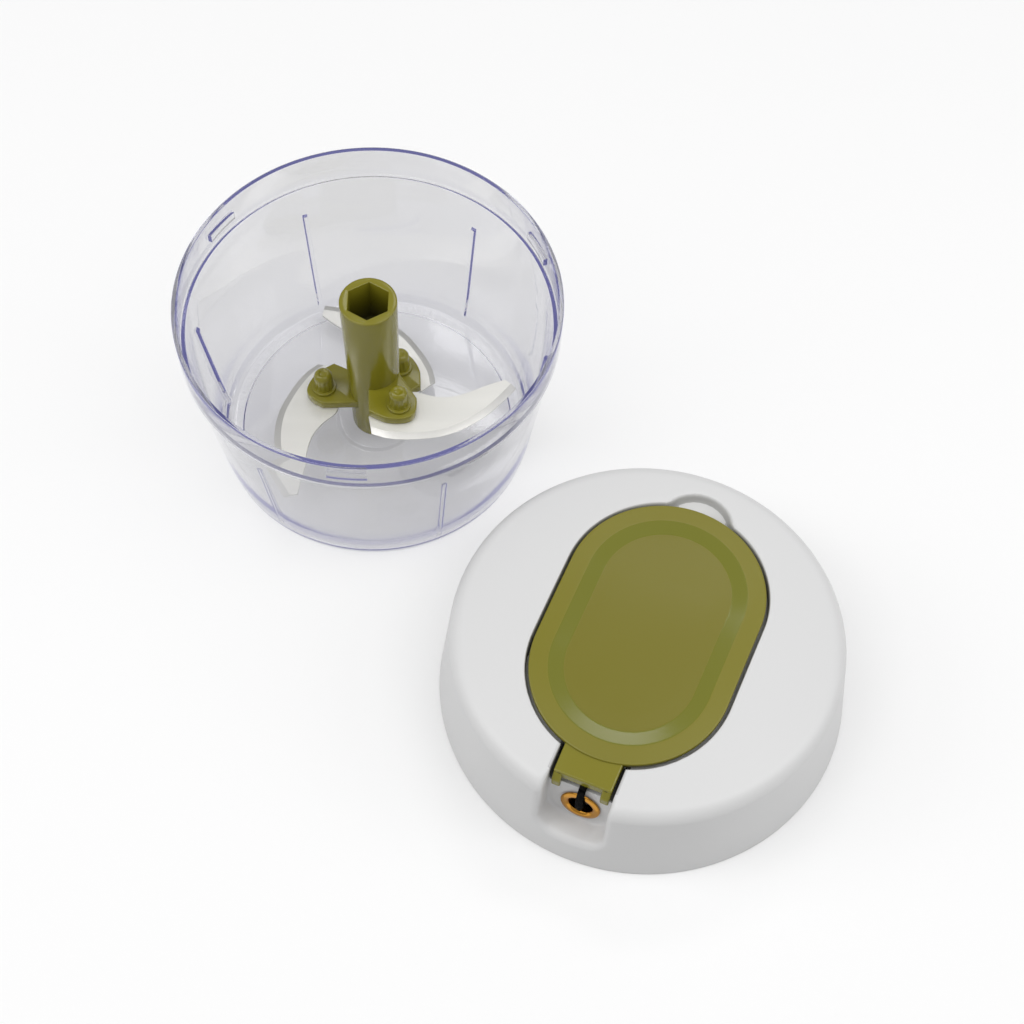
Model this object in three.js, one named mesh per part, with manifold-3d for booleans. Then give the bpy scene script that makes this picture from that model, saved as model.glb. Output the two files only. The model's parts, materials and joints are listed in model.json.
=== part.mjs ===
// A pull-cord food chopper, taken apart as it stands on a worktop: the clear bowl with its blade
// carrier, and the lid with its pull handle and sprung cord reel beside it.
// Millimetres, +Z up. The origin is the centre of the bowl's underside.

import * as THREE from 'three';
import { mergeVertices } from 'three/addons/utils/BufferGeometryUtils.js';
import Module from 'manifold-3d';

const wasm = await Module();
wasm.setup();

// Shared clearances
const runGap = 0.3; // between a piece and the one that it rests on, turns in or is cut by
const overrun = 1; // how far a cutter runs past the face that it opens
const embed = 0.4; // how far a rib or boss reaches into the wall that carries it

// Bowl
const bowlHeight = 69.8;
const rimRadius = 60;
const rimWall = 1.45;
const rimRound = 0.5;
const collarHeight = 11.8; // from the inner ledge to the rim
const collarLean = 0.3; // how much the collar narrows towards its foot
const collarStep = 0.8; // height of the slope under the collar
const bowlWall = 1.5;
const bowlFloor = 3;
const bodyTopRadius = 58.4;
const heelTopRadius = 53.35;
const heelTop = 20;
const footRadius = 48.6;
const floorRadius = 46.5;
const heelStraightShare = 0.6; // how far down the heel curve keeps the wall's slope
const heelBulgeShare = 0.5; // how far out the heel curve leaves the floor

const ribCount = 6;
const ribBearing = 56; // degrees
const ribBottom = 6;
const ribTop = 46.5;
const ribWidth = 1.5;
const ribDepth = 1;

const tabCount = 3;
const tabBearing = 26.6; // degrees
const tabSpan = 11.5; // degrees
const tabDrop = 4.8; // from the rim to the top of a bayonet tab
const tabHeight = 3;
const tabDepth = 1.3;

const seatRadius = 13.3;
const seatTopRadius = 12.3;
const seatRise = 1.2;

// Pivot pin
const pinRadius = 2.5;
const pinSink = 2.9; // depth of its socket below the top of the seat
const pinFlangeRadius = 4.2;
const pinFlangeHeight = 1;
const pinTipRadius = 1.2;
const pinTipHeight = 1.4;

// Blade carrier
const hubDrop = 0.2; // from the rim down to the top of the tube
const hubTopRadius = 9;
const hubFootRadius = 7.9;
const hubRound = 0.7;
const hexSocketRadius = 7.1; // to the corners
const hexSocketDepth = 17.6;
const hexTurn = 30; // degrees, puts a corner at the back
const hubWeb = 2; // between the socket and the pin's bore
const carrierBearing = -57; // degrees, the first blade's pad
const bladeCount = 3;
const topPadHeight = 32.7;
const padStep = 10.44;
const padThickness = 3.4;
const studReach = 16.3; // from the tube's axis to a blade pin
const padNose = 5.7; // from the blade pin to the pad's rounded end
const padOutlineShares = {
  straightSide: [0.12, 1.07],
  noseSide: [0.965, 0.63],
  nose: [1, 0.14],
  noseCurve: [0.93, -0.5],
  heelCurve: [0.3, -1.13],
  heelStart: [-0.19, -1.46],
  heelEnd: [-0.54, -1.63],
}; // shares of padNose, from the blade pin

// Blades
const bladeThickness = 1;
const bladeEdge = 0.2; // thickness left at the cutting edge
const bladeTipGap = 0.4; // tip's reach inside the floor's radius
const bevelWidth = 2.2;
const bladeSteps = 16;
const cuttingEdgeShares = [
  [0.084, -0.393], [0.218, -0.279], [0.333, -0.123], [0.434, 0.064], [0.501, 0.228],
  [0.538, 0.41], [0.543, 0.601], [0.52, 0.809], [0.467, 1.02], [0.4, 1.222],
]; // shares of the blade's span, from the blade pin
const backEdgeShares = [
  [-0.104, -0.319], [-0.15, -0.17], [-0.172, 0], [-0.16, 0.135], [-0.114, 0.265],
  [0.03, 0.4], [0.132, 0.55], [0.185, 0.74], [0.212, 0.96], [0.252, 1.168],
]; // shares of the blade's span, from the blade pin

// Blade pins
const bladePinRadius = 3;
const bladePinFlangeRadius = 4.6;
const bladePinFlangeHeight = 1.4;
const bladePinCollarRadius = 3.9;
const bladePinCollarHeight = 1.1;
const bladePinRise = 8.2; // above the pad
const bladePinDome = 1.6;
const bladePinDimpleRadius = 1.3;
const bladePinDimpleDepth = 0.5;

// Where the lid lies beside the bowl
const lidBearing = -47.23; // degrees, from the bowl's axis to the lid's
const lidSetOff = 5.07; // between the bowl's rim and the lid's foot
const cordBearing = -112.1; // degrees, from the lid's axis to the cord's pocket

// Lid shell. In the lid's own frame +X points to the cord's pocket.
const lidHeight = 38.5;
const lidFootRadius = 62.8;
const lidFootChamfer = 0.5;
const sideLeanShare = 0.1033; // how much the side leans in for each unit of height
const shoulderRound = 5;
const domeSpan = 55.5;
const domeRise = 4;
const shellWall = 1.9;
const skirtGap = 0.4; // between the bowl's rim and the lid's skirt
const rimSeat = 10; // height of the ledge that lies on the bowl's rim
const footRise = 0.3; // what hangs inside the lid stays this far off the table

// Handle recess, finger notch and channel in the shell
const recessFloor = 31.3;
const floorWall = 1.8;
const handleGap = 1; // round the handle
const notchRadius = 10.8;
const notchReach = 40; // from the lid's axis, on the side away from the cord
const channelHalfWidth = 10.1;
const channelFloor = 28;
const channelInnerReach = 40.5;

// Cord pocket
const pocketBackReach = 52.2; // at the eyelet's height
const pocketBackLeanShare = 0.105;
const pocketFloor = 11.4;
const pocketFloorWall = 1.2;
const pocketFillet = 1.4;
const pocketLipReach = 59.8;
const pocketLipRound = 2;
const pocketCornerRound = 6;
const pocketEdgeRound = 1;

// Screw bosses and the axle's boss
const bossRadius = 3.4;
const bossReach = 46;
const axleBossRadius = 5;
const axleBoreTop = 28;

// Lid base
const baseHeight = 10.4; // underside of the plate
const baseThickness = 1.8;
const baseEdgeGap = 0.5;
const baseHoleRadius = 9.2;
const plugRadius = 56.6; // collar that plugs into the bowl
const plugWall = 1.8;
const lugHeight = 1.4;
const lugDepth = 1.6;
const lugSpan = 11; // degrees
const lugBearing = 60; // degrees

// Lid screws
const screwRadius = 1.5;
const screwLength = 13.6;
const screwHeadRadius = 3;
const screwHeadHeight = 1.8;
const panHeadShare = 0.8; // the head's flat outer face, as a share of its radius

// Eyelet and cord
const eyeletHeight = 19.2;
const eyeletAside = 0.4;
const eyeletBore = 3.7; // radius
const eyeletBarrelWall = 0.7;
const eyeletFlangeRadius = 6.3;
const eyeletFlangeHeight = 0.8;
const eyeletBackReach = 0.5; // how far the barrel shows behind the wall
const cordRadius = 1.15;

// Reel
const axleRadius = 2.5;
const axleFoot = 4.7;
const reelFoot = 13.2;
const reelFlange = 1.2;
const reelFlangeRadius = 30;
const drumRadius = 19;
const drumWall = 1.8;
const drumHeight = 7.6;
const coverLedge = 1;
const coverGap = 0.3;
const springStrip = 0.5;
const springTurns = 5;
const springSteps = 12; // for each turn
const springEndGap = 0.5;

// Hexagonal drive, its screw and washer
const hexDriveGap = 0.2; // on each side in the carrier's socket
const hexDriveFoot = 0.8;
const driveFlangeRadius = 8.6;
const driveFlangeHeight = 2.3;
const driveCounterbore = 4.6; // radius
const driveCounterboreDepth = 3.6;
const washerRadius = 4.2;
const washerThickness = 1;
const reelScrewRadius = 1.25;
const reelScrewLength = 10.6;
const reelScrewHeadRadius = 2.8;
const reelScrewHeadHeight = 1.5;

// Pull handle
const handleHalfStraight = 14;
const handleRadius = 30.3;
const handleProud = 0.4; // above the dome
const handleEdgeRound = 0.6;
const handleDraft = 1.2; // how much the side leans in towards its foot
const handleBand = 5.7;
const handleSlope = 4.7;
const handleDish = 1;
const handleSkirtWall = 1.8;
const handlePlate = 3.7; // thickness at the middle of the dish
const handleCentreRadius = 6;
const handleTabSetBack = 0.4; // from the pocket's back wall to the tab's end
const handleTabHalfWidth = 8.7;
const handleTabDrop = 0.2; // below the dome
const handleTabFoot = 31.4;
const handleTabWall = 1.8;
const handleTabStep = 0.4; // from the handle's ceiling down to the tab's
const prongWidth = 2.8;
const prongProud = 2.1; // beyond the tab's end
const prongTop = 31.5;
const prongFoot = 28.6;
const prongToe = 1.5; // thickness at the foot
const ribSetBack = 5.8; // from the tab's end to the inner face of the cord's rib
const ribThickness = 1.5;

// Cord's hinge point under the tab, and its knot
const hingeHeight = 29.6;
const knotGap = 0.2; // between the knot and the cord's rib
const knotHeight = 31.1;
const knotRadius = 2.1;

// Facets
const largeSteps = 64;
const mediumSteps = 32;
const smallSteps = 16;
const cordSides = 8;
const cordLeadSteps = 8;
const cordTailSteps = 12;
const cordKnotSteps = 6;
const straightSteps = 4; // on each side of the handle
const arcSteps = 24; // on each end of the handle and its recess
const cornerSteps = 3; // on a quarter of a small round
const shoulderSteps = 5;
const domeSteps = 3;
const heelSteps = 5;
const weld = 0.0001;

// Heights and radii that follow from the values above
const seatTop = bowlFloor + seatRise;
const collarFoot = bowlHeight - collarHeight;
const rimInner = rimRadius - rimWall;
const hubTop = bowlHeight - hubDrop;
const hubFoot = seatTop + runGap;
const hubBoreTop = hubTop - hexSocketDepth - hubWeb;
const bladeReach = floorRadius - bladeTipGap;
const bladeSpan = bladeReach - studReach;
const domeRadius = (domeSpan ** 2 + domeRise ** 2) / (2 * domeRise);
const skirtInner = rimRadius + skirtGap;
const reelTop = reelFoot + 2 * reelFlange + drumHeight;
const drumFloor = reelFoot + reelFlange;
const coverFoot = drumFloor + drumHeight;
const windingRadius = drumRadius + runGap + 2 * cordRadius;
const windingHeight = (drumFloor + coverFoot) / 2;
const baseTop = baseHeight + baseThickness;
const driveBore = axleRadius + runGap;
const washerTop = hexDriveFoot + driveCounterboreDepth;
const hexDriveRadius = hexSocketRadius - hexDriveGap / Math.cos(Math.PI / 6);
const handleCeiling = lidHeight + handleProud - handleDish - handlePlate;
const handleTabCeiling = handleCeiling - handleTabStep;
const handleTabReach = pocketBackReach - handleTabSetBack;
const prongReach = handleTabReach + prongProud;
const ribReach = handleTabReach - ribSetBack;
const knotReach = ribReach - knotGap - knotRadius;

const finishes = {
  clear: { color: 0xe6e8f4, roughness: 0.05, metalness: 0, transparent: true, opacity: 0.35 },
  olive: { color: 0x82803a, roughness: 0.35, metalness: 0 },
  lightGrey: { color: 0xdadada, roughness: 0.45, metalness: 0 },
  steel: { color: 0xc4c6c8, roughness: 0.25, metalness: 1 },
  brass: { color: 0xc98f3c, roughness: 0.25, metalness: 1 },
  cord: { color: 0x141414, roughness: 0.9, metalness: 0 },
  nylon: { color: 0xf0efe8, roughness: 0.5, metalness: 0 },
};

const radians = THREE.MathUtils.degToRad;
const point = (x, y) => new THREE.Vector2(x, y);
const place = (x, y, z) => new THREE.Vector3(x, y, z);

// Solids

/** A closed geometry as a solid for joining and cutting, with its faces turned outwards. */
function solid(shape) {
  if (!shape.isBufferGeometry) return shape;
  const bare = new THREE.BufferGeometry();
  bare.setAttribute('position', shape.attributes.position);
  bare.setIndex(shape.index);
  const merged = mergeVertices(bare, weld);
  const corners = merged.attributes.position;
  const triangles = [];
  let volume = 0;
  const [a, b, c] = [place(), place(), place()];
  for (let i = 0; i < merged.index.count; i += 3) {
    const three = [0, 1, 2].map((k) => merged.index.getX(i + k));
    if (new Set(three).size < three.length) continue;
    a.fromBufferAttribute(corners, three[0]);
    b.fromBufferAttribute(corners, three[1]);
    c.fromBufferAttribute(corners, three[2]);
    volume += a.dot(b.cross(c));
    triangles.push(three);
  }
  const faces = volume > 0 ? triangles : triangles.map(([i, j, k]) => [i, k, j]);
  return new wasm.Manifold(new wasm.Mesh({
    numProp: 3,
    vertProperties: Float32Array.from(corners.array),
    triVerts: Uint32Array.from(faces.flat()),
  }));
}

const join = (...shapes) => shapes.map(solid).reduce((whole, next) => whole.add(next));
const cut = (...shapes) => shapes.map(solid).reduce((whole, next) => whole.subtract(next));
const common = (...shapes) => shapes.map(solid).reduce((whole, next) => whole.intersect(next));

/** A named mesh of one solid in one of the finishes. */
function piece(name, shape, finish) {
  const { vertProperties, triVerts } = solid(shape).getMesh();
  const geometry = new THREE.BufferGeometry();
  geometry.setAttribute('position', new THREE.BufferAttribute(vertProperties, 3));
  geometry.setIndex(new THREE.BufferAttribute(triVerts, 1));
  geometry.computeVertexNormals();
  const mesh = new THREE.Mesh(geometry, new THREE.MeshStandardMaterial(finishes[finish]));
  mesh.name = name;
  return mesh;
}

/** A profile of [radius, height] pairs turned about the Z axis. */
function turned(profile, steps) {
  const line = profile.map(([radius, height]) => point(radius, height));
  return new THREE.LatheGeometry(line, steps).rotateX(Math.PI / 2);
}

/** A profile that closes on itself, such as a ring's section, turned about the Z axis. */
function turnedRing(profile, steps) {
  return turned([...profile, profile[0]], steps);
}

/** A plain cylinder about the Z axis. */
function rod(radius, bottom, top, steps) {
  return turned([[0, bottom], [radius, bottom], [radius, top], [0, top]], steps);
}

/** A flat shape raised from one height to another. */
function raised(shape, bottom, top, curveSegments = arcSteps / 2) {
  const depth = top - bottom;
  const body = new THREE.ExtrudeGeometry(shape, { depth, bevelEnabled: false, curveSegments });
  return body.translate(0, 0, bottom);
}

/** A section in the XZ plane, carried across the Y axis between two places. */
function across(section, from, to) {
  const body = new THREE.ExtrudeGeometry(section, {
    depth: to - from,
    bevelEnabled: false,
    curveSegments: cornerSteps,
  });
  return body.rotateX(Math.PI / 2).translate(0, to, 0);
}

/** A box between two opposite corners. */
function block(low, high) {
  const size = high.clone().sub(low);
  const middle = high.clone().add(low).divideScalar(2);
  return new THREE.BoxGeometry(size.x, size.y, size.z).translate(middle.x, middle.y, middle.z);
}

/** A closed skin over rings that all have as many points, with a fan on the first and last. */
function lofted(rings) {
  const count = rings[0].length;
  const index = [];
  for (let r = 0; r + 1 < rings.length; r += 1) {
    for (let i = 0; i < count; i += 1) {
      const next = (i + 1) % count;
      const [a, b] = [r * count + i, r * count + next];
      const [c, d] = [a + count, b + count];
      index.push(a, b, d, a, d, c);
    }
  }
  const last = (rings.length - 1) * count;
  for (let i = 1; i + 1 < count; i += 1) {
    index.push(0, i + 1, i);
    index.push(last, last + i, last + i + 1);
  }
  const geometry = new THREE.BufferGeometry().setFromPoints(rings.flat());
  geometry.setIndex(index);
  return geometry;
}

/** A round tube along a smooth curve through the points of a route. */
function cordAlong(route, steps) {
  const section = new THREE.Shape();
  section.absarc(0, 0, cordRadius, 0, 2 * Math.PI);
  return new THREE.ExtrudeGeometry(section, {
    steps,
    curveSegments: cordSides / 2,
    extrudePath: new THREE.CatmullRomCurve3(route),
  });
}

/** The part of a ring between two radii that spans an angle about a bearing. */
function sector(inner, outer, bearing, span) {
  const [from, to] = [radians(bearing - span / 2), radians(bearing + span / 2)];
  const shape = new THREE.Shape();
  shape.absarc(0, 0, outer, from, to, false);
  shape.absarc(0, 0, inner, to, from, true);
  return shape;
}

/** A regular hexagon with a corner at a turn from the X axis. */
function hexagon(radius, turn) {
  const shape = new THREE.Shape();
  shape.setFromPoints([0, 1, 2, 3, 4, 5].map((k) => {
    const angle = radians(turn) + k * Math.PI / 3;
    return point(radius * Math.cos(angle), radius * Math.sin(angle));
  }));
  return shape;
}

/** A long rounded shape: two half circles joined by straight sides along X. */
function stadium(halfStraight, radius) {
  const shape = new THREE.Shape();
  shape.absarc(halfStraight, 0, radius, -Math.PI / 2, Math.PI / 2);
  shape.absarc(-halfStraight, 0, radius, Math.PI / 2, 1.5 * Math.PI);
  return shape;
}

// Bowl

const wallSlope = (bodyTopRadius - heelTopRadius) / (collarFoot - bowlWall - heelTop);

/** The heel between the straight wall and the flat foot or floor, as [radius, height] pairs. */
function heel(foot, top, radius, bottom) {
  const fall = (top - bottom) * heelStraightShare;
  const curve = new THREE.CubicBezierCurve(
    point(foot, bottom),
    point(foot + (radius - foot) * heelBulgeShare, bottom),
    point(radius - wallSlope * fall, top - fall),
    point(radius, top),
  );
  return curve.getPoints(heelSteps).map((p) => [p.x, p.y]);
}

const outerHeel = heel(footRadius, heelTop, heelTopRadius, 0);
const innerHeel = heel(floorRadius, heelTop, heelTopRadius - bowlWall, bowlFloor);
const innerWallAt = (height) => heelTopRadius - bowlWall + wallSlope * (height - heelTop);

function makeBowl() {
  const body = turned([
    [0, 0],
    ...outerHeel,
    [bodyTopRadius, collarFoot - bowlWall],
    [rimRadius - collarLean, collarFoot - bowlWall + collarStep],
    [rimRadius, bowlHeight - rimRound],
    [rimRadius - rimRound, bowlHeight],
    [rimInner, bowlHeight],
    [rimInner, collarFoot],
    [innerWallAt(collarFoot), collarFoot],
    ...innerHeel.toReversed(),
    [seatRadius, bowlFloor],
    [seatTopRadius, seatTop],
    [0, seatTop],
  ], largeSteps);
  const socket = rod(pinRadius + runGap, seatTop - pinSink, seatTop + overrun, smallSteps);

  const wallLine = [
    ...innerHeel.filter(([, height]) => height > ribBottom),
    [innerWallAt(ribTop), ribTop],
  ];
  const ribSection = new THREE.Shape([
    ...wallLine.map(([radius, height]) => point(radius + embed, height)),
    ...wallLine.toReversed().map(([radius, height]) => point(radius - ribDepth, height)),
  ]);
  const ribs = Array.from({ length: ribCount }, (_, k) => {
    const rib = across(ribSection, -ribWidth / 2, ribWidth / 2);
    return rib.rotateZ(radians(ribBearing + k * 360 / ribCount));
  });

  const tabTop = bowlHeight - tabDrop;
  const tabs = Array.from({ length: tabCount }, (_, k) => raised(
    sector(rimInner - tabDepth, rimInner + embed, tabBearing + k * 360 / tabCount, tabSpan),
    tabTop - tabHeight,
    tabTop,
    cornerSteps,
  ));
  return piece('bowl', cut(join(body, ...ribs, ...tabs), socket), 'clear');
}

function makePivotPin() {
  const top = hubBoreTop - runGap;
  return piece('pivot_pin', turned([
    [0, seatTop - pinSink + runGap],
    [pinRadius, seatTop - pinSink + runGap],
    [pinRadius, seatTop],
    [pinFlangeRadius, seatTop],
    [pinFlangeRadius, seatTop + pinFlangeHeight],
    [pinRadius, seatTop + pinFlangeHeight],
    [pinRadius, top - pinTipHeight],
    [pinTipRadius, top],
    [0, top],
  ], smallSteps), 'steel');
}

// Blade carrier

const padTopAt = (k) => topPadHeight - padStep * k;
const bladeBearingAt = (k) => carrierBearing - k * 360 / bladeCount;

/** A pad's outline, with X through the blade pin. */
function padOutline() {
  const at = ([x, y]) => [studReach + x * padNose, y * padNose];
  const shares = padOutlineShares;
  const shape = new THREE.Shape();
  shape.moveTo(hubFootRadius / 2, at(shares.straightSide)[1]);
  shape.lineTo(...at(shares.straightSide));
  shape.quadraticCurveTo(...at(shares.noseSide), ...at(shares.nose));
  shape.quadraticCurveTo(...at(shares.noseCurve), ...at(shares.heelCurve));
  shape.quadraticCurveTo(...at(shares.heelStart), ...at(shares.heelEnd));
  shape.lineTo(hubFootRadius / 2, -hubFootRadius / 2);
  return shape;
}

function makeBladeHub() {
  const counterbore = pinFlangeRadius + 2 * runGap;
  const tube = turned([
    [0, hubBoreTop],
    [driveBore, hubBoreTop],
    [driveBore, seatTop + pinFlangeHeight + runGap],
    [counterbore, seatTop + pinFlangeHeight + runGap],
    [counterbore, hubFoot],
    [hubFootRadius - hubRound, hubFoot],
    [hubFootRadius, hubFoot + hubRound],
    [hubTopRadius, hubTop - hubRound / 2],
    [hubTopRadius - hubRound / 2, hubTop],
    [0, hubTop],
  ], mediumSteps);
  const socket = raised(hexagon(hexSocketRadius, hexTurn), hubTop - hexSocketDepth, hubTop + overrun);
  const bore = rod(driveBore, hubFoot - overrun, hubBoreTop, smallSteps);
  const pads = [];
  const holes = [];
  for (let k = 0; k < bladeCount; k += 1) {
    const turn = radians(bladeBearingAt(k));
    const top = padTopAt(k);
    pads.push(raised(padOutline(), top - padThickness, top, cornerSteps).rotateZ(turn));
    holes.push(rod(bladePinRadius + runGap, top - padThickness - overrun, top + overrun, smallSteps)
      .translate(studReach, 0, 0)
      .rotateZ(turn));
  }
  return piece('blade_hub', cut(join(tube, ...pads), socket, bore, ...holes), 'olive');
}

/** One curved blade with its ground bevel on the upper side, in the carrier's frame. */
function bladeBody(k) {
  const top = padTopAt(k) - padThickness;
  const bottom = top - bladeThickness;
  const smooth = (shares) => new THREE.SplineCurve(shares.map(([x, y]) => point(
    studReach + x * bladeSpan,
    y * bladeSpan,
  ))).getSpacedPoints(bladeSteps);
  const edge = smooth(cuttingEdgeShares);
  const back = smooth(backEdgeShares);
  const sections = edge.map((outer, i) => {
    const inner = back[i];
    const bevel = outer.clone().lerp(inner, bevelWidth / outer.distanceTo(inner));
    return [
      place(outer.x, outer.y, bottom),
      place(outer.x, outer.y, bottom + bladeEdge),
      place(bevel.x, bevel.y, top),
      place(inner.x, inner.y, top),
      place(inner.x, inner.y, bottom),
    ];
  });
  const hole = rod(bladePinRadius + runGap, bottom - overrun, top + overrun, smallSteps)
    .translate(studReach, 0, 0);
  return cut(lofted(sections), hole);
}

/** One stud that holds a blade under its pad. */
function bladePinBody(k) {
  const padTop = padTopAt(k);
  const bladeBottom = padTop - padThickness - bladeThickness;
  const top = padTop + bladePinRise;
  return turned([
    [0, bladeBottom - bladePinFlangeHeight],
    [bladePinFlangeRadius, bladeBottom - bladePinFlangeHeight],
    [bladePinFlangeRadius, bladeBottom],
    [bladePinRadius, bladeBottom],
    [bladePinRadius, padTop],
    [bladePinCollarRadius, padTop],
    [bladePinCollarRadius, padTop + bladePinCollarHeight],
    [bladePinRadius, padTop + bladePinCollarHeight],
    [bladePinRadius, top - bladePinDome],
    [(bladePinRadius + bladePinDimpleRadius) / 2, top - bladePinDome / 3],
    [bladePinDimpleRadius, top],
    [0, top - bladePinDimpleDepth],
  ], smallSteps).translate(studReach, 0, 0);
}

function makeCarrier() {
  const group = new THREE.Group();
  group.add(makeBladeHub());
  for (let k = 0; k < bladeCount; k += 1) {
    const blade = piece(`blade_${k + 1}`, bladeBody(k), 'steel');
    const pin = piece(`blade_pin_${k + 1}`, bladePinBody(k), 'olive');
    for (const mesh of [blade, pin]) {
      mesh.rotation.z = radians(bladeBearingAt(k));
      group.add(mesh);
    }
  }
  return group;
}

// Lid shell

/** Height of the lid's dome over a place in the lid's frame, or of a surface under it. */
function domeHeight(x, y, inset = 0) {
  return lidHeight - domeRadius + Math.sqrt((domeRadius - inset) ** 2 - x ** 2 - y ** 2);
}

/** The lid's side, shoulder and dome at an inset from the outside, as [radius, height] pairs. */
function lidProfile(inset, bottom) {
  const reach = Math.hypot(1, sideLeanShare);
  const offset = lidFootRadius - shoulderRound * reach;
  const domeCentre = lidHeight - domeRadius;
  const sum = offset * sideLeanShare + domeCentre;
  const rest = offset ** 2 + domeCentre ** 2 - (domeRadius - shoulderRound) ** 2;
  const height = (sum + Math.sqrt(sum ** 2 - reach ** 2 * rest)) / reach ** 2;
  const radius = offset - sideLeanShare * height;
  const from = Math.atan(sideLeanShare);
  const to = Math.atan2(height - domeCentre, radius);
  const profile = [[lidFootRadius - inset * reach - sideLeanShare * bottom, bottom]];
  for (let i = 0; i <= shoulderSteps; i += 1) {
    const angle = from + (to - from) * i / shoulderSteps;
    const round = shoulderRound - inset;
    profile.push([radius + round * Math.cos(angle), height + round * Math.sin(angle)]);
  }
  const edge = profile.at(-1)[0];
  for (let i = domeSteps - 1; i >= 0; i -= 1) {
    const away = edge * i / domeSteps;
    profile.push([away, domeHeight(away, 0, inset)]);
  }
  return profile;
}

const outerLid = solid(turned([
  [0, 0],
  [lidFootRadius - lidFootChamfer, 0],
  ...lidProfile(0, lidFootChamfer),
], largeSteps));

const lidCavity = solid(turned([
  [0, -overrun],
  [skirtInner, -overrun],
  [skirtInner, rimSeat],
  ...lidProfile(shellWall, rimSeat),
], largeSteps));

const pocketBackAt = (height) => pocketBackReach + (eyeletHeight - height) * pocketBackLeanShare;
const above = lidHeight + overrun;
const outside = lidFootRadius + overrun;
const screwPlaces = [1, 3, 5].map((k) => point(
  bossReach * Math.cos(k * Math.PI / 3),
  bossReach * Math.sin(k * Math.PI / 3),
));

/** What is added inside the cap: the walls of its recess, channel and pocket, and its bosses. */
function lidInnerWalls() {
  const recess = raised(
    stadium(handleHalfStraight, handleRadius + handleGap + floorWall),
    recessFloor - floorWall,
    above,
  );
  const notch = rod(notchRadius + floorWall, recessFloor - floorWall, above, mediumSteps)
    .translate(-notchReach, 0, 0);
  const wide = channelHalfWidth + floorWall;
  const channel = block(
    place(channelInnerReach - floorWall, -wide, channelFloor - floorWall),
    place(outside, wide, above),
  );
  const foot = pocketFloor - pocketFloorWall;
  const pocket = across(new THREE.Shape([
    point(pocketBackAt(foot) - floorWall, foot),
    point(outside, foot),
    point(outside, above),
    point(pocketBackAt(above) - floorWall, above),
  ]), -wide, wide);
  const bossTop = domeHeight(bossReach, 0, embed);
  const bosses = screwPlaces.map(({ x, y }) => (
    rod(bossRadius, baseTop, bossTop, smallSteps).translate(x, y, 0)
  ));
  const axleBoss = rod(axleBossRadius, drumFloor + runGap, recessFloor - embed, smallSteps);
  return common(join(recess, notch, channel, pocket, ...bosses, axleBoss), outerLid);
}

/** The space of the cord's pocket, with its soft lip and round lower corners. */
function pocketSpace() {
  const scoop = new THREE.Shape();
  scoop.moveTo(pocketBackAt(above), above);
  scoop.lineTo(pocketBackAt(channelFloor), channelFloor);
  scoop.lineTo(pocketBackAt(pocketFloor + pocketFillet), pocketFloor + pocketFillet);
  scoop.lineTo(pocketBackAt(pocketFloor) + pocketFillet, pocketFloor);
  scoop.lineTo(pocketLipReach, pocketFloor);
  scoop.absarc(pocketLipReach, pocketFloor - pocketLipRound, pocketLipRound, Math.PI / 2, 0, true);
  scoop.lineTo(outside, pocketFloor - pocketLipRound);
  scoop.lineTo(outside, above);
  const wide = channelHalfWidth;
  const corner = pocketCornerRound;
  const low = pocketFloor - pocketLipRound + corner;
  const mouth = new THREE.Shape();
  mouth.moveTo(-wide, above);
  mouth.lineTo(-wide, low);
  mouth.absarc(corner - wide, low, corner, Math.PI, 1.5 * Math.PI);
  mouth.absarc(wide - corner, low, corner, 1.5 * Math.PI, 0);
  mouth.lineTo(wide, above);
  const tunnel = new THREE.ExtrudeGeometry(mouth, {
    depth: outside,
    bevelEnabled: false,
    curveSegments: cornerSteps,
  });
  // The mouth is drawn in X and Y, and lies across the Y axis with its top up once it is turned.
  tunnel.applyMatrix4(new THREE.Matrix4().makeBasis(place(0, 1, 0), place(0, 0, 1), place(1, 0, 0)));
  return common(across(scoop, -wide - overrun, wide + overrun), tunnel);
}

/** A shape that was built about the Z axis, laid on the eyelet's axis. */
function onEyeletAxis(geometry) {
  return geometry
    .rotateY(Math.PI / 2 - Math.atan(pocketBackLeanShare))
    .translate(pocketBackReach, eyeletAside, eyeletHeight);
}

function makeLidShell() {
  const recess = raised(stadium(handleHalfStraight, handleRadius + handleGap), recessFloor, above);
  const notch = rod(notchRadius, recessFloor, above, mediumSteps).translate(-notchReach, 0, 0);
  const edgeReach = pocketBackAt(channelFloor);
  const channelSection = new THREE.Shape([
    point(channelInnerReach, channelFloor),
    point(edgeReach - pocketEdgeRound, channelFloor),
    point(edgeReach + overrun, channelFloor - pocketEdgeRound - overrun),
    point(edgeReach + overrun, above),
    point(channelInnerReach, above),
  ]);
  const channel = across(channelSection, -channelHalfWidth, channelHalfWidth);
  const eyeletHole = onEyeletAxis(
    rod(eyeletBore + eyeletBarrelWall + runGap, -floorWall - overrun, overrun, smallSteps),
  );
  const screwHoles = screwPlaces.map(({ x, y }) => rod(
    screwRadius + runGap,
    baseTop - overrun,
    baseHeight + screwLength + runGap,
    smallSteps,
  ).translate(x, y, 0));
  const axleHole = rod(driveBore, drumFloor, axleBoreTop, smallSteps);
  return piece('lid_shell', cut(
    join(cut(outerLid, lidCavity), lidInnerWalls()),
    recess,
    notch,
    channel,
    pocketSpace(),
    eyeletHole,
    ...screwHoles,
    axleHole,
  ), 'lightGrey');
}

// Lid base and its screws

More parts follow.
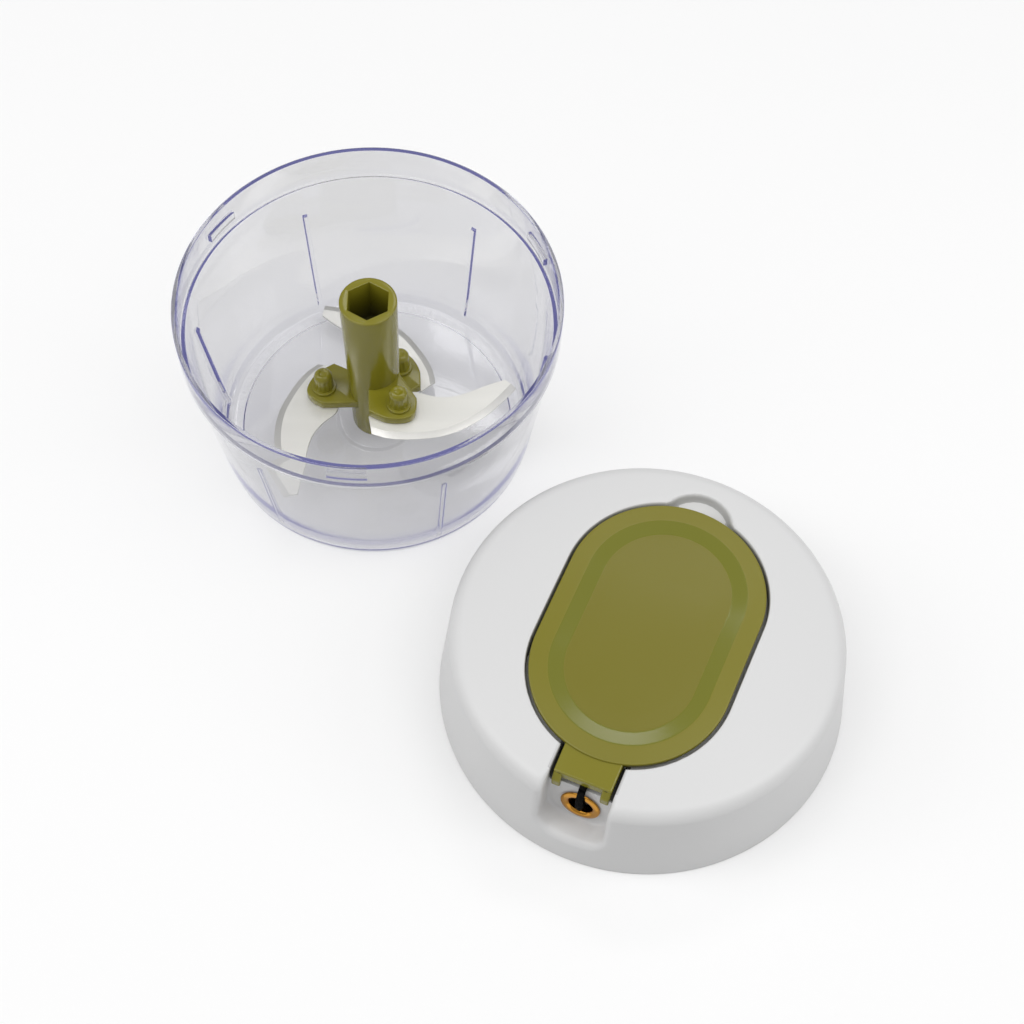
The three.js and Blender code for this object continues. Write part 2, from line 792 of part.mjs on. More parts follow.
function makeLidBase() {
  const plateRadius = lidProfile(shellWall, baseHeight)[0][0] - baseEdgeGap;
  const body = turnedRing([
    [baseHoleRadius, baseHeight],
    [plugRadius - plugWall, baseHeight],
    [plugRadius - plugWall, footRise],
    [plugRadius, footRise],
    [plugRadius, baseHeight],
    [plateRadius, baseHeight],
    [plateRadius, baseTop],
    [baseHoleRadius, baseTop],
  ], largeSteps);
  const lugs = [1, 3, 5].map((k) => raised(
    sector(plugRadius - embed, plugRadius + lugDepth, lugBearing * k, lugSpan),
    footRise,
    footRise + lugHeight,
    cornerSteps,
  ));
  const wide = channelHalfWidth + floorWall + runGap;
  const pocketNotch = block(
    place(
      pocketBackAt(pocketFloor) - floorWall - 2 * runGap,
      -wide,
      pocketFloor - pocketFloorWall - runGap,
    ),
    place(outside, wide, baseTop + overrun),
  );
  const holes = screwPlaces.map(({ x, y }) => rod(
    screwRadius + runGap,
    baseHeight - overrun,
    baseTop + overrun,
    smallSteps,
  ).translate(x, y, 0));
  return piece('lid_base', cut(join(body, ...lugs), pocketNotch, ...holes), 'lightGrey');
}

/** A pan-head screw with its head down, its shank starting at a height. */
function screwBody(radius, length, headRadius, headHeight, height) {
  return turned([
    [0, height - headHeight],
    [headRadius * panHeadShare, height - headHeight],
    [headRadius, height - headHeight / 2],
    [headRadius, height],
    [radius, height],
    [radius, height + length - radius],
    [0, height + length],
  ], smallSteps);
}

function makeLidScrews() {
  return screwPlaces.map(({ x, y }, k) => {
    const body = screwBody(screwRadius, screwLength, screwHeadRadius, screwHeadHeight, baseHeight);
    return piece(`lid_screw_${k + 1}`, body.translate(x, y, 0), 'steel');
  });
}

function makeEyelet() {
  const barrel = eyeletBore + eyeletBarrelWall;
  const face = runGap + eyeletFlangeHeight;
  return piece('cord_eyelet', onEyeletAxis(turnedRing([
    [eyeletBore, -floorWall - eyeletBackReach],
    [barrel, -floorWall - eyeletBackReach],
    [barrel, runGap],
    [eyeletFlangeRadius, runGap],
    [eyeletFlangeRadius, runGap + eyeletFlangeHeight / 2],
    [barrel + eyeletFlangeHeight, face],
    [barrel, face],
    [eyeletBore, face - eyeletFlangeHeight / 2],
  ], mediumSteps)), 'brass');
}

// Reel

function makeReelAxle() {
  const screwEnd = washerTop + reelScrewLength;
  const hole = rod(reelScrewRadius + runGap, axleFoot - overrun, screwEnd, smallSteps);
  const body = rod(axleRadius, axleFoot, axleBoreTop - runGap, smallSteps);
  return piece('reel_axle', cut(body, hole), 'steel');
}

function makeCordReel() {
  const cavity = drumRadius - drumWall;
  return piece('cord_reel', turnedRing([
    [driveBore, reelFoot],
    [reelFlangeRadius, reelFoot],
    [reelFlangeRadius, drumFloor],
    [drumRadius, drumFloor],
    [drumRadius, coverFoot],
    [reelFlangeRadius, coverFoot],
    [reelFlangeRadius, reelTop],
    [cavity + coverLedge + coverGap, reelTop],
    [cavity + coverLedge + coverGap, coverFoot],
    [cavity, coverFoot],
    [cavity, drumFloor],
    [driveBore, drumFloor],
  ], mediumSteps), 'nylon');
}

function makeSpringCover() {
  const inner = axleBossRadius + 2 * runGap;
  const outer = drumRadius - drumWall + coverLedge;
  return piece('spring_cover', turnedRing([
    [inner, coverFoot],
    [outer, coverFoot],
    [outer, reelTop],
    [inner, reelTop],
  ], mediumSteps), 'steel');
}

/** The flat spiral spring between the axle's boss and the drum's wall. */
function makeRecoilSpring() {
  const inner = axleBossRadius + springEndGap;
  const outer = drumRadius - drumWall - springEndGap - springStrip;
  const [bottom, top] = [drumFloor + 2 * runGap, coverFoot - 2 * runGap];
  const steps = springTurns * springSteps;
  const sections = Array.from({ length: steps + 1 }, (_, i) => {
    const angle = 2 * Math.PI * i / springSteps;
    const near = inner + (outer - inner) * i / steps;
    const at = (radius, height) => place(radius * Math.cos(angle), radius * Math.sin(angle), height);
    return [at(near, bottom), at(near + springStrip, bottom), at(near + springStrip, top), at(near, top)];
  });
  return piece('recoil_spring', lofted(sections), 'steel');
}

/** The turns of cord on the drum, as the plain ring that they fill. */
function makeCordWinding() {
  return piece('cord_winding', turnedRing([
    [drumRadius + runGap, drumFloor + runGap],
    [windingRadius, drumFloor + runGap],
    [windingRadius, coverFoot - runGap],
    [drumRadius + runGap, coverFoot - runGap],
  ], mediumSteps), 'cord');
}

function makeHexDrive() {
  const bottom = reelFoot - driveFlangeHeight;
  const body = join(
    raised(hexagon(hexDriveRadius, 0), hexDriveFoot, bottom + embed),
    rod(driveFlangeRadius, bottom, reelFoot, mediumSteps),
  );
  return piece('hex_drive', cut(
    body,
    rod(driveBore, hexDriveFoot - overrun, reelFoot + overrun, smallSteps),
    rod(driveCounterbore, hexDriveFoot - overrun, washerTop, smallSteps),
  ), 'nylon');
}

function makeReelWasher() {
  return piece('reel_washer', turnedRing([
    [reelScrewRadius + runGap, washerTop - washerThickness],
    [washerRadius, washerTop - washerThickness],
    [washerRadius, washerTop],
    [reelScrewRadius + runGap, washerTop],
  ], smallSteps), 'steel');
}

function makeReelScrew() {
  return piece('reel_screw', screwBody(
    reelScrewRadius,
    reelScrewLength,
    reelScrewHeadRadius,
    reelScrewHeadHeight,
    washerTop - washerThickness,
  ), 'steel');
}

// Cord

/** From the winding's side, straight to the eyelet's bore. */
function makeCordLead() {
  const away = windingRadius + runGap + cordRadius;
  const end = pocketBackReach - floorWall;
  const angle = Math.acos(away / Math.hypot(end, eyeletAside)) + Math.atan2(eyeletAside, end);
  const start = place(away * Math.cos(angle), away * Math.sin(angle), windingHeight);
  const stop = place(end, eyeletAside, eyeletHeight);
  const route = [0, 1 / 3, 2 / 3, 1].map((share) => start.clone().lerp(stop, share));
  return piece('cord_lead', cordAlong(route, cordLeadSteps), 'cord');
}

/** From the eyelet's bore, up behind the tab's prongs to the point where the handle tilts. */
function makeCordTail() {
  const route = [
    [50.9, 19.2], [52.2, 19.5], [53.5, 20.6], [54.2, 22.4],
    [54.25, 24.2], [54, 26], [53.4, 27.8], [52.7, 28.9],
  ].map(([x, z]) => place(x, eyeletAside, z));
  return piece('cord_tail', cordAlong(route, cordTailSteps), 'cord');
}

/** The cord's last stretch inside the tab, with the knot behind its rib. */
function makeCordKnot() {
  const route = [
    [pocketBackReach - 2 * runGap, hingeHeight],
    [(pocketBackReach + ribReach + ribThickness) / 2, hingeHeight + runGap],
    [ribReach + ribThickness, (hingeHeight + knotHeight) / 2],
    [knotReach, knotHeight],
  ].map(([x, z]) => place(x, eyeletAside, z));
  const ball = new THREE.SphereGeometry(knotRadius, smallSteps, cordSides);
  const knot = ball.translate(knotReach, eyeletAside, knotHeight);
  return piece('cord_knot', join(cordAlong(route, cordKnotSteps), knot), 'cord');
}

// Pull handle

/** A ring of points round the handle at an inset, with a height for each point. */
function handleRing(inset, height) {
  const radius = handleRadius - inset;
  const ring = [];
  for (const [side, centre] of [[0, handleHalfStraight], [1, -handleHalfStraight]]) {
    for (let i = 0; i < arcSteps; i += 1) {
      const angle = Math.PI * (i / arcSteps + side - 0.5);
      ring.push([centre + radius * Math.cos(angle), radius * Math.sin(angle)]);
    }
    const y = radius * (1 - 2 * side);
    for (let i = 0; i < straightSteps; i += 1) {
      ring.push([centre * (1 - 2 * i / straightSteps), y]);
    }
  }
  return ring.map(([x, y]) => place(x, y, height(x, y)));
}

function makePullHandle() {
  const crown = (x, y) => domeHeight(x, y) + handleProud;
  const dish = (x, y) => crown(x, y) - handleDish;
  const foot = recessFloor + runGap;
  const dishInset = handleBand + handleSlope;
  const skirt = handleDraft + handleSkirtWall;
  const body = lofted([
    handleRing(handleRadius - handleCentreRadius, dish),
    handleRing((handleRadius + dishInset) / 2, dish),
    handleRing(dishInset, dish),
    handleRing(handleBand, crown),
    handleRing(handleEdgeRound, crown),
    handleRing(0, (x, y) => crown(x, y) - handleEdgeRound),
    handleRing(handleDraft, () => foot),
    handleRing(skirt, () => foot),
    handleRing(skirt, () => handleCeiling),
    handleRing(handleRadius - handleCentreRadius, () => handleCeiling),
  ]);
  const wide = handleTabHalfWidth;
  const crownSolid = solid(turned([
    [0, 0],
    ...lidProfile(handleTabDrop, 0),
  ], largeSteps));
  const tabStart = handleHalfStraight + handleRadius - skirt;
  const tab = common(
    block(place(tabStart, -wide, handleTabFoot), place(handleTabReach, wide, above)),
    crownSolid,
  );
  const end = domeHeight(handleTabReach, 0, handleTabDrop);
  const prongSection = new THREE.Shape([
    point(handleTabReach - handleTabWall, handleTabFoot),
    point(prongReach - prongToe, prongFoot),
    point(prongReach, prongFoot),
    point(prongReach, prongTop),
    point(handleTabReach, end),
    point(handleTabReach - handleTabWall, end),
  ]);
  const prongs = [
    across(prongSection, wide - prongWidth, wide),
    across(prongSection, -wide, prongWidth - wide),
  ];
  const innerWide = wide - handleTabWall;
  const hollow = block(
    place(tabStart - overrun, -innerWide, hingeHeight),
    place(handleTabReach - handleTabWall, innerWide, handleTabCeiling),
  );
  const rib = block(
    place(ribReach, -innerWide - embed, handleTabFoot),
    place(ribReach + ribThickness, innerWide + embed, handleTabCeiling + embed),
  );
  const cordWide = cordRadius + runGap;
  const cordSlot = block(
    place(ribReach - overrun, eyeletAside - cordWide, hingeHeight),
    place(ribReach + ribThickness + overrun, eyeletAside + cordWide, knotHeight + cordWide),
  );
  const shell = cut(join(body, tab, ...prongs), hollow);
  return piece('pull_handle', cut(join(shell, rib), cordSlot), 'olive');
}

function makeLid() {
  const group = new THREE.Group();
  const distance = rimRadius + lidSetOff + lidFootRadius;
  group.position.x = distance * Math.cos(radians(lidBearing));
  group.position.y = distance * Math.sin(radians(lidBearing));
  group.rotation.z = radians(cordBearing);
  group.add(
    makeLidShell(),
    makeLidBase(),
    ...makeLidScrews(),
    makeEyelet(),
    makeReelAxle(),
    makeCordReel(),
    makeSpringCover(),
    makeRecoilSpring(),
    makeCordWinding(),
    makeHexDrive(),
    makeReelWasher(),
    makeReelScrew(),
    makeCordLead(),
    makeCordTail(),
    makeCordKnot(),
    makePullHandle(),
  );
  return group;
}

const chopper = new THREE.Group();
chopper.add(makeBowl(), makePivotPin(), makeCarrier(), makeLid());

export default chopper;
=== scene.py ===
"""A pull-cord food chopper taken apart: a clear bowl with its blade carrier, and the lid beside it.

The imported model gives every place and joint. Each class here is one sub-assembly: it holds its
sizes in millimetres, works its surfaces out as whole numpy arrays, and dresses the meshes.
"""

import json
import logging
import math
from dataclasses import dataclass, field, replace
from enum import Enum
from functools import cache
from typing import Optional, Sequence

import bmesh
import bpy
import numpy as np
from mathutils import Matrix, Vector


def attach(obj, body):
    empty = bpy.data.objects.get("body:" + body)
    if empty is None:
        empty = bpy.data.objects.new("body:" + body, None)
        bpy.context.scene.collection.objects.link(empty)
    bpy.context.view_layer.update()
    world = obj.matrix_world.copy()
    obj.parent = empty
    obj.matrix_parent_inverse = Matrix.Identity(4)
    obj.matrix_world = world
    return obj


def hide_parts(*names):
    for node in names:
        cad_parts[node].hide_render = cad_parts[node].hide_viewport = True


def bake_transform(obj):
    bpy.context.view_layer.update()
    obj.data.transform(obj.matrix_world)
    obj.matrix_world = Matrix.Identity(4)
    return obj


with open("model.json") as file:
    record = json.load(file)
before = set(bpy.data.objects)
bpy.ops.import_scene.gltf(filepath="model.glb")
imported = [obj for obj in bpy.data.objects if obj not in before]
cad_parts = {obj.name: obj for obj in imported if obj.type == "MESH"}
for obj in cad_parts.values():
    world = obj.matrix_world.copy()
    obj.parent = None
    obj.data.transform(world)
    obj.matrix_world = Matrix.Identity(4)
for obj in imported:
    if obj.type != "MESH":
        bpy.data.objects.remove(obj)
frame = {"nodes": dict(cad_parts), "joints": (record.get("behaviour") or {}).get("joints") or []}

Array = np.ndarray
Colour = tuple[float, float, float, float]
Route = Sequence[Sequence[float]]
Socket = bpy.types.NodeSocket
LOG = logging.getLogger("chopper")
MM = 0.001
WELD = 1e-6  # metres: points closer than this are one
SLIVER = 1e-7  # metres: shorter edges are dissolved
FULL_TURN = 2 * math.pi
IMAGE_WIDTH = 1024
WHITE = (1.0, 1.0, 1.0, 1.0)
PLASTIC_IOR = 1.5
ANY_BOUNCE = 0.5  # every count of bounces but zero is over this
MIDDLE_OF_NOISE = (0.3, 0.7)  # where most of a noise's values lie


class Slot(Enum):
    """The record's material slots."""

    CLEAR = "clear_plastic"
    OLIVE = "olive_plastic"
    GREY = "grey_plastic"
    WHITE = "white_plastic"
    BLADE = "blade_steel"
    STEEL = "steel"
    BRASS = "brass"
    CORD = "black_cord"


# Surfaces


def ease(steps: int) -> Array:
    """Shares from 0 to 1 that lie closer together at both ends: half of one less the cosine.

    Args:
        steps: How many stretches there are.

    Returns:
        steps + 1 shares.
    """
    return 0.5 - 0.5 * np.cos(np.linspace(0.0, math.pi, steps + 1))


def legs(corners: Sequence[Array], counts: Sequence[int]) -> Array:
    """Stations on straight legs between corners, each leg eased at both ends.

    Args:
        corners: Arrays of one shape, one for each corner of the route.
        counts: How many stretches each leg has.

    Returns:
        The stations along a new first axis, with every corner once.
    """
    rows = [np.asarray(corners[0], float)[None]]
    for start, stop, count in zip(corners[:-1], corners[1:], counts):
        first, last = np.asarray(start, float), np.asarray(stop, float)
        share = ease(count)[1:].reshape((-1,) + (1,) * first.ndim)
        rows.append(first + (last - first) * share)
    return np.concatenate(rows)


def soften(profile: Route, radius: float, steps: int = 4) -> Array:
    """A polyline whose inner corners are rounded by quadratic curves.

    Each corner gives way to a curve that starts and ends a radius away on its two legs, or at
    most a share of a leg, with the corner itself as its middle control point.

    Args:
        profile: The corners of the line.
        radius: How far from a corner its curve starts.
        steps: How many stretches each curve has.

    Returns:
        The points of the rounded line.
    """
    most_of_leg = 0.45
    line = np.asarray(profile, float)
    share = np.linspace(0.0, 1.0, steps + 1)[:, None]
    rows = [line[:1]]
    for before, corner, after in zip(line[:-2], line[1:-1], line[2:]):
        back, ahead = before - corner, after - corner
        start = corner + back * min(radius / np.linalg.norm(back), most_of_leg)
        stop = corner + ahead * min(radius / np.linalg.norm(ahead), most_of_leg)
        rows.append(start * (1 - share) ** 2 + corner * 2 * share * (1 - share) + stop * share**2)
    rows.append(line[-1:])
    return np.concatenate(rows)


def round_both(first: Array, second: Array, radius: Array) -> Array:
    """Distance to what two solids share, with the edge where they cross rounded.

    Inside the edge's band both distances are over minus the radius. There the result is the
    length of the two excesses less the radius, and elsewhere it is the larger distance.
    """
    band = np.hypot(np.maximum(radius + first, 0.0), np.maximum(radius + second, 0.0))
    return np.minimum(-radius, np.maximum(first, second)) + band


def polar(radius: Array, turn: Array, height: Array) -> Array:
    """Points from radius, angle and height: x = r cos t, y = r sin t."""
    return np.stack(np.broadcast_arrays(radius * np.cos(turn), radius * np.sin(turn), height), axis=-1)


def at_heights(flat: Array, height: Array) -> Array:
    """Flat points raised to their heights."""
    return np.concatenate((flat, np.broadcast_to(height, flat.shape[:-1])[..., None]), axis=-1)


def stadium(u: Array, n: Array, half: float, radius: float) -> Array:
    """Distance to an outline of two half circles about (half, 0) and (-half, 0) and two sides."""
    return np.hypot(np.maximum(np.abs(u) - half, 0.0), n) - radius


def grid_faces(rows: int, columns: int, close_rows: bool) -> Array:
    """The four corners of every cell of a grid whose points are numbered row by row.

    Args:
        rows: How many rows of points there are.
        columns: How many points a row has.
        close_rows: Joins the last row to the first.

    Returns:
        An N by 4 array of point numbers.
    """
    down = np.arange(rows if close_rows else rows - 1)[:, None]
    along = np.arange(columns)[None, :]
    right = (along + 1) % columns
    here, below = down * columns, (down + 1) % rows * columns
    return np.stack((here + along, here + right, below + right, below + along), axis=-1).reshape(-1, 4)


@dataclass
class Shape:
    """Points in millimetres with their faces, ready to become one mesh.

    Attributes:
        points: An N by 3 array.
        faces: An M by 4 array of corners.
        caps: Rings of point numbers that are closed by one flat face each.
        cloth: An optional N by 2 array of lengths along and round the piece.
    """

    points: Array
    faces: Array
    caps: list = field(default_factory=list)
    cloth: Optional[Array] = None

    @staticmethod
    def grid(points: Array, close_rows: bool = False, caps: bool = False) -> "Shape":
        """A skin over a grid of points, with the last column joined to the first.

        Args:
            points: Rows by columns by 3.
            close_rows: Joins the last row to the first.
            caps: Closes the first and last row with a flat face each.

        Returns:
            The skin as a shape.
        """
        rows, columns = points.shape[:2]
        faces = grid_faces(rows, columns, close_rows)
        last = (rows - 1) * columns
        rings = [list(range(columns)), list(range(last, last + columns))] if caps else []
        return Shape(points.reshape(-1, 3), faces, rings)

    @staticmethod
    def turned(profile: Array, steps: int = 96, ring: bool = False) -> "Shape":
        """A profile of radius and height turned about the Z axis."""
        turn = np.linspace(0.0, FULL_TURN, steps, endpoint=False)
        return Shape.grid(polar(profile[:, :1], turn, profile[:, 1:]), close_rows=ring)

    @staticmethod
    def slab(outline: Array, bottom: float, top: float, edge: float, steps: int = 4) -> "Shape":
        """A flat outline raised between two heights, with its edges rounded.

        The ring at each height is the outline moved in along its normals by edge times one less
        the sine of the arc's angle, and its height leaves the face by edge times the cosine.

        Args:
            outline: An N by 2 array of corners, in order, with the inside on the left.
            bottom: Height of its underside.
            top: Height of its top.
            edge: How far the rounding of its edges reaches.
            steps: How many stretches each rounding has.

        Returns:
            The slab as a closed shape.
        """
        ahead = np.roll(outline, -1, axis=0) - np.roll(outline, 1, axis=0)
        inward = np.stack((-ahead[:, 1], ahead[:, 0]), axis=-1)
        inward /= np.linalg.norm(inward, axis=1, keepdims=True)
        arc = np.linspace(0.0, math.pi / 2, steps + 1)
        inset = edge * (1 - np.sin(arc))
        rise = edge * (1 - np.cos(arc))
        inset = np.concatenate((inset, inset[::-1]))
        height = np.concatenate((bottom + rise, top - rise[::-1]))
        rings = at_heights(outline[None] + inward[None] * inset[:, None, None], height[:, None])
        middle = outline.mean(axis=0)
        first, last = (np.broadcast_to([*middle, z], (1, len(outline), 3)) for z in (bottom, top))
        return Shape.grid(np.concatenate((first, rings, last)))

    @staticmethod
    def tube(route: Array, radius: float, sides: int = 16) -> "Shape":
        """A round tube along a route, closed at its ends.

        The section's two directions are carried along the route: each is what is left of the
        route's side direction once the part along the tangent is taken away.

        Args:
            route: N by 3 points.
            radius: The section's radius.
            sides: How many sides the section has.

        Returns:
            The tube, with its lengths along and round it.
        """
        ahead = np.gradient(route, axis=0)
        ahead /= np.linalg.norm(ahead, axis=1, keepdims=True)
        side = np.eye(3)[int(np.argmin(np.ptp(route, axis=0)))]
        across = side - (ahead @ side)[:, None] * ahead
        across /= np.linalg.norm(across, axis=1, keepdims=True)
        over = np.cross(ahead, across)
        turn = np.linspace(0.0, FULL_TURN, sides, endpoint=False)
        ring = across[:, None] * np.cos(turn)[None, :, None] + over[:, None] * np.sin(turn)[None, :, None]
        shape = Shape.grid(route[:, None] + ring * radius, caps=True)
        steps = np.linalg.norm(np.diff(route, axis=0), axis=1)
        length = np.concatenate(([0.0], np.cumsum(steps)))
        along, around = np.meshgrid(length, turn, indexing="ij")
        shape.cloth = np.stack((along, around), axis=-1).reshape(-1, 2)
        return shape

    def moved(self, place: Matrix) -> "Shape":
        """The same shape at another place."""
        matrix = np.array(place, float)
        return replace(self, points=self.points @ matrix[:3, :3].T + matrix[:3, 3])

    def plus(self, other: "Shape") -> "Shape":
        """Both shapes as one, each with its own closed skin.

        Args:
            other: The shape to add.

        Returns:
            Both as one shape.
        """
        shift = len(self.points)
        cloth = None
        if self.cloth is not None and other.cloth is not None:
            cloth = np.concatenate((self.cloth, other.cloth))
        return Shape(
            np.concatenate((self.points, other.points)),
            np.concatenate((self.faces, other.faces + shift)),
            self.caps + [[corner + shift for corner in ring] for ring in other.caps],
            cloth,
        )


def smooth_route(points: Route, count: int) -> Array:
    """A smooth line through points: a Catmull-Rom spline, evenly sampled in its parameter.

    Args:
        points: The points that the line passes.
        count: How many samples the line has.

    Returns:
        A count by D array.
    """
    knots = np.asarray(points, float)
    knots = np.concatenate((2 * knots[:1] - knots[1:2], knots, 2 * knots[-1:] - knots[-2:-1]))
    at = np.linspace(0.0, len(points) - 1.0, count)
    start = np.minimum(at.astype(int), len(points) - 2)
    t = (at - start)[:, None]
    a, b, c, d = (knots[start + k] for k in range(4))
    return 0.5 * (2 * b + (c - a) * t + (2 * a - 5 * b + 4 * c - d) * t**2 + (3 * b - a - 3 * c + d) * t**3)


def lid_place() -> Matrix:
    """The lid's own frame, in millimetres: its axis is reel_spin's, and +X points to the cord's pocket.

    Returns:
        The frame as a matrix.
    """
    joints = {joint["name"]: joint for joint in frame["joints"]}
    centre = Vector(joints["reel_spin"]["pos_m"]) / MM
    axis = Vector(joints["handle_tilt"]["axis"])
    pull = Vector((-axis.y, axis.x, 0.0))
    towards = Vector(joints["handle_tilt"]["pos_m"]) / MM - centre
    if pull.dot(towards) < 0:
        pull = -pull
    return Matrix.Translation((centre.x, centre.y, 0.0)) @ Matrix.Rotation(math.atan2(pull.y, pull.x), 4, "Z")


def linked(name: str, data: bpy.types.ID) -> bpy.types.Object:
    """A new object in the scene.

    Args:
        name: The object's name.
        data: Its mesh, lamp or camera.

    Returns:
        The new object.
    """
    item = bpy.data.objects.new(name, data)
    bpy.context.scene.collection.objects.link(item)
    return item


def face_values(item: bpy.types.Object, name: str) -> Array:
    """One property of every face, such as its center or normal, as an N by 3 array.

    Args:
        item: The piece.
        name: The property's name.

    Returns:
        The values, face by face.
    """
    values = np.zeros(len(item.data.polygons) * 3)
    item.data.polygons.foreach_get(name, values)
    return values.reshape(-1, 3)


def face_places(item: bpy.types.Object, place: Optional[Matrix] = None) -> Array:
    """The middles of a piece's faces in millimetres, as three rows, in a place's frame if one is given.

    Args:
        item: The piece.
        place: The frame to measure in, or None for the scene's own.

    Returns:
        Three rows: X, Y and Z of every face.
    """
    centres = face_values(item, "center") / MM
    if place is not None:
        back = np.array(place.inverted())
        centres = centres @ back[:3, :3].T + back[:3, 3]
    return centres.T


class Workshop:
    """Makes Blender objects from shapes, puts them on their bodies and reports each one."""

    def __init__(self) -> None:
        """Starts with an empty list of pieces."""
        self.made: list[bpy.types.Object] = []

    def piece(
        self,
        name: str,
        shape: Shape,
        body: Optional[str],
        finish: "Finish",
        nodes: Sequence[str] = (),
        sharp: float = 40.0,
    ) -> bpy.types.Object:
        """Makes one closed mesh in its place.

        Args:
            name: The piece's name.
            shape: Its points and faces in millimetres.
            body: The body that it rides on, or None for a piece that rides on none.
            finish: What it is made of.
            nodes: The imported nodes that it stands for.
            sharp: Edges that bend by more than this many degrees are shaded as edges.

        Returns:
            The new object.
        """
        mesh = self.closed_mesh(name, shape)
        mesh.shade_smooth()
        mesh.set_sharp_from_angle(angle=math.radians(sharp))
        mesh.materials.append(finish.material())
        item = linked(name, mesh)
        if body is not None:
            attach(item, body)
        if nodes:
            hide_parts(*nodes)
        self.made.append(item)
        LOG.info("%s: %d faces, %s", name, len(mesh.polygons), finish.name)
        return item

    @staticmethod
    def lay_cloth(mesh: bpy.types.Mesh, cloth: Array) -> None:
        """Stores the lengths along and round a piece as its UV map, for woven patterns.

        The seam's last cells run on past a full turn, so that the pattern closes.

        Args:
            mesh: The mesh, with its points as the shape has them.
            cloth: Two lengths for each point.
        """
        corners = np.zeros(len(mesh.loops), int)
        mesh.loops.foreach_get("vertex_index", corners)
        values = cloth[corners].copy()
        totals = np.zeros(len(mesh.polygons), int)
        mesh.polygons.foreach_get("loop_total", totals)
        owner = np.repeat(np.arange(len(totals)), totals)
        highest = np.zeros(len(totals))
        np.maximum.at(highest, owner, values[:, 1])
        wraps = (highest[owner] - values[:, 1] > math.pi) & (totals[owner] == 4)
        values[wraps, 1] += FULL_TURN
        layer = mesh.uv_layers.new(name="lengths")
        layer.data.foreach_set("uv", values.ravel())

    def closed_mesh(self, name: str, shape: Shape) -> bpy.types.Mesh:
        """A mesh whose seams and poles are merged and whose faces all point outwards.

        Args:
            name: The mesh's name.
            shape: Points and faces in millimetres.

        Returns:
            The new mesh, in metres.
        """
        mesh = bpy.data.meshes.new(name)
        mesh.from_pydata((shape.points * MM).tolist(), [], shape.faces.tolist() + shape.caps)
        if shape.cloth is not None:
            self.lay_cloth(mesh, shape.cloth)
        work = bmesh.new()
        work.from_mesh(mesh)
        bmesh.ops.remove_doubles(work, verts=work.verts, dist=WELD)
        bmesh.ops.dissolve_degenerate(work, edges=work.edges, dist=SLIVER)
        bmesh.ops.recalc_face_normals(work, faces=work.faces)
        work.to_mesh(mesh)
        work.free()
        return mesh

    def drill(self, item: bpy.types.Object, tool: Shape, sharp: float) -> None:
        """Cuts a tool's space out of a piece and keeps the result as the piece's own mesh.

        Args:
            item: The piece.
            tool: The space to take away.
            sharp: Edges that bend by more than this many degrees are shaded as edges.
        """
        cutter = linked("tool", self.closed_mesh("tool", tool))
        cut = item.modifiers.new("cut", "BOOLEAN")
        cut.operation = "DIFFERENCE"
        cut.solver = "EXACT"
        cut.object = cutter
        bpy.context.view_layer.update()
        result = bpy.data.meshes.new_from_object(item.evaluated_get(bpy.context.evaluated_depsgraph_get()))
        item.modifiers.clear()
        before, name, spare = item.data, item.data.name, cutter.data
        item.data = result
        bpy.data.objects.remove(cutter)
        bpy.data.meshes.remove(spare)
        bpy.data.meshes.remove(before)
        result.name = name
        result.set_sharp_from_angle(angle=math.radians(sharp))

    @staticmethod
    def add_finish(item: bpy.types.Object, finish: "Finish", chosen: Array) -> None:
        """Gives the chosen faces of a piece one more finish.

        Args:
            item: The piece.
            finish: The finish to add.
            chosen: One true or false value for each face.
        """
        faces = item.data.polygons
        index = np.zeros(len(faces), np.int32)
        faces.foreach_get("material_index", index)
        index[chosen] = len(item.data.materials)
        item.data.materials.append(finish.material())
        faces.foreach_set("material_index", index)

    @staticmethod
    def even(item: bpy.types.Object) -> None:
        """Shades each corner mostly as its larger faces lie, so that flat faces look flat."""
        weighted = item.modifiers.new("even_shading", "WEIGHTED_NORMAL")
        weighted.keep_sharp = True

    def dress(self, node: str, finish: "Finish") -> None:
        """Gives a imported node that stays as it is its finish.

        Args:
            node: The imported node's name.
            finish: What it is made of.
        """
        item = frame["nodes"][node]
        item.data.materials.clear()
        item.data.materials.append(finish.material())
        LOG.info("%s: packed node, %s", node, finish.name)


# Finishes


def shade(red: int, green: int, blue: int) -> Colour:
    """A colour written as the screen shows it, in the linear values that shaders read.

    The curve is the sRGB standard's: a short straight foot, then a power.

    Args:
        red: The red channel, from 0 to 255.
        green: The green channel.
        blue: The blue channel.

    Returns:
        Four linear values from 0 to 1, the last one full.
    """
    def linear(value: int) -> float:
        """One channel from the screen's 0 to 255 to a linear share."""
        share = value / 255
        return share / 12.92 if share <= 0.04045 else ((share + 0.055) / 1.055) ** 2.4
    return (linear(red), linear(green), linear(blue), 1.0)


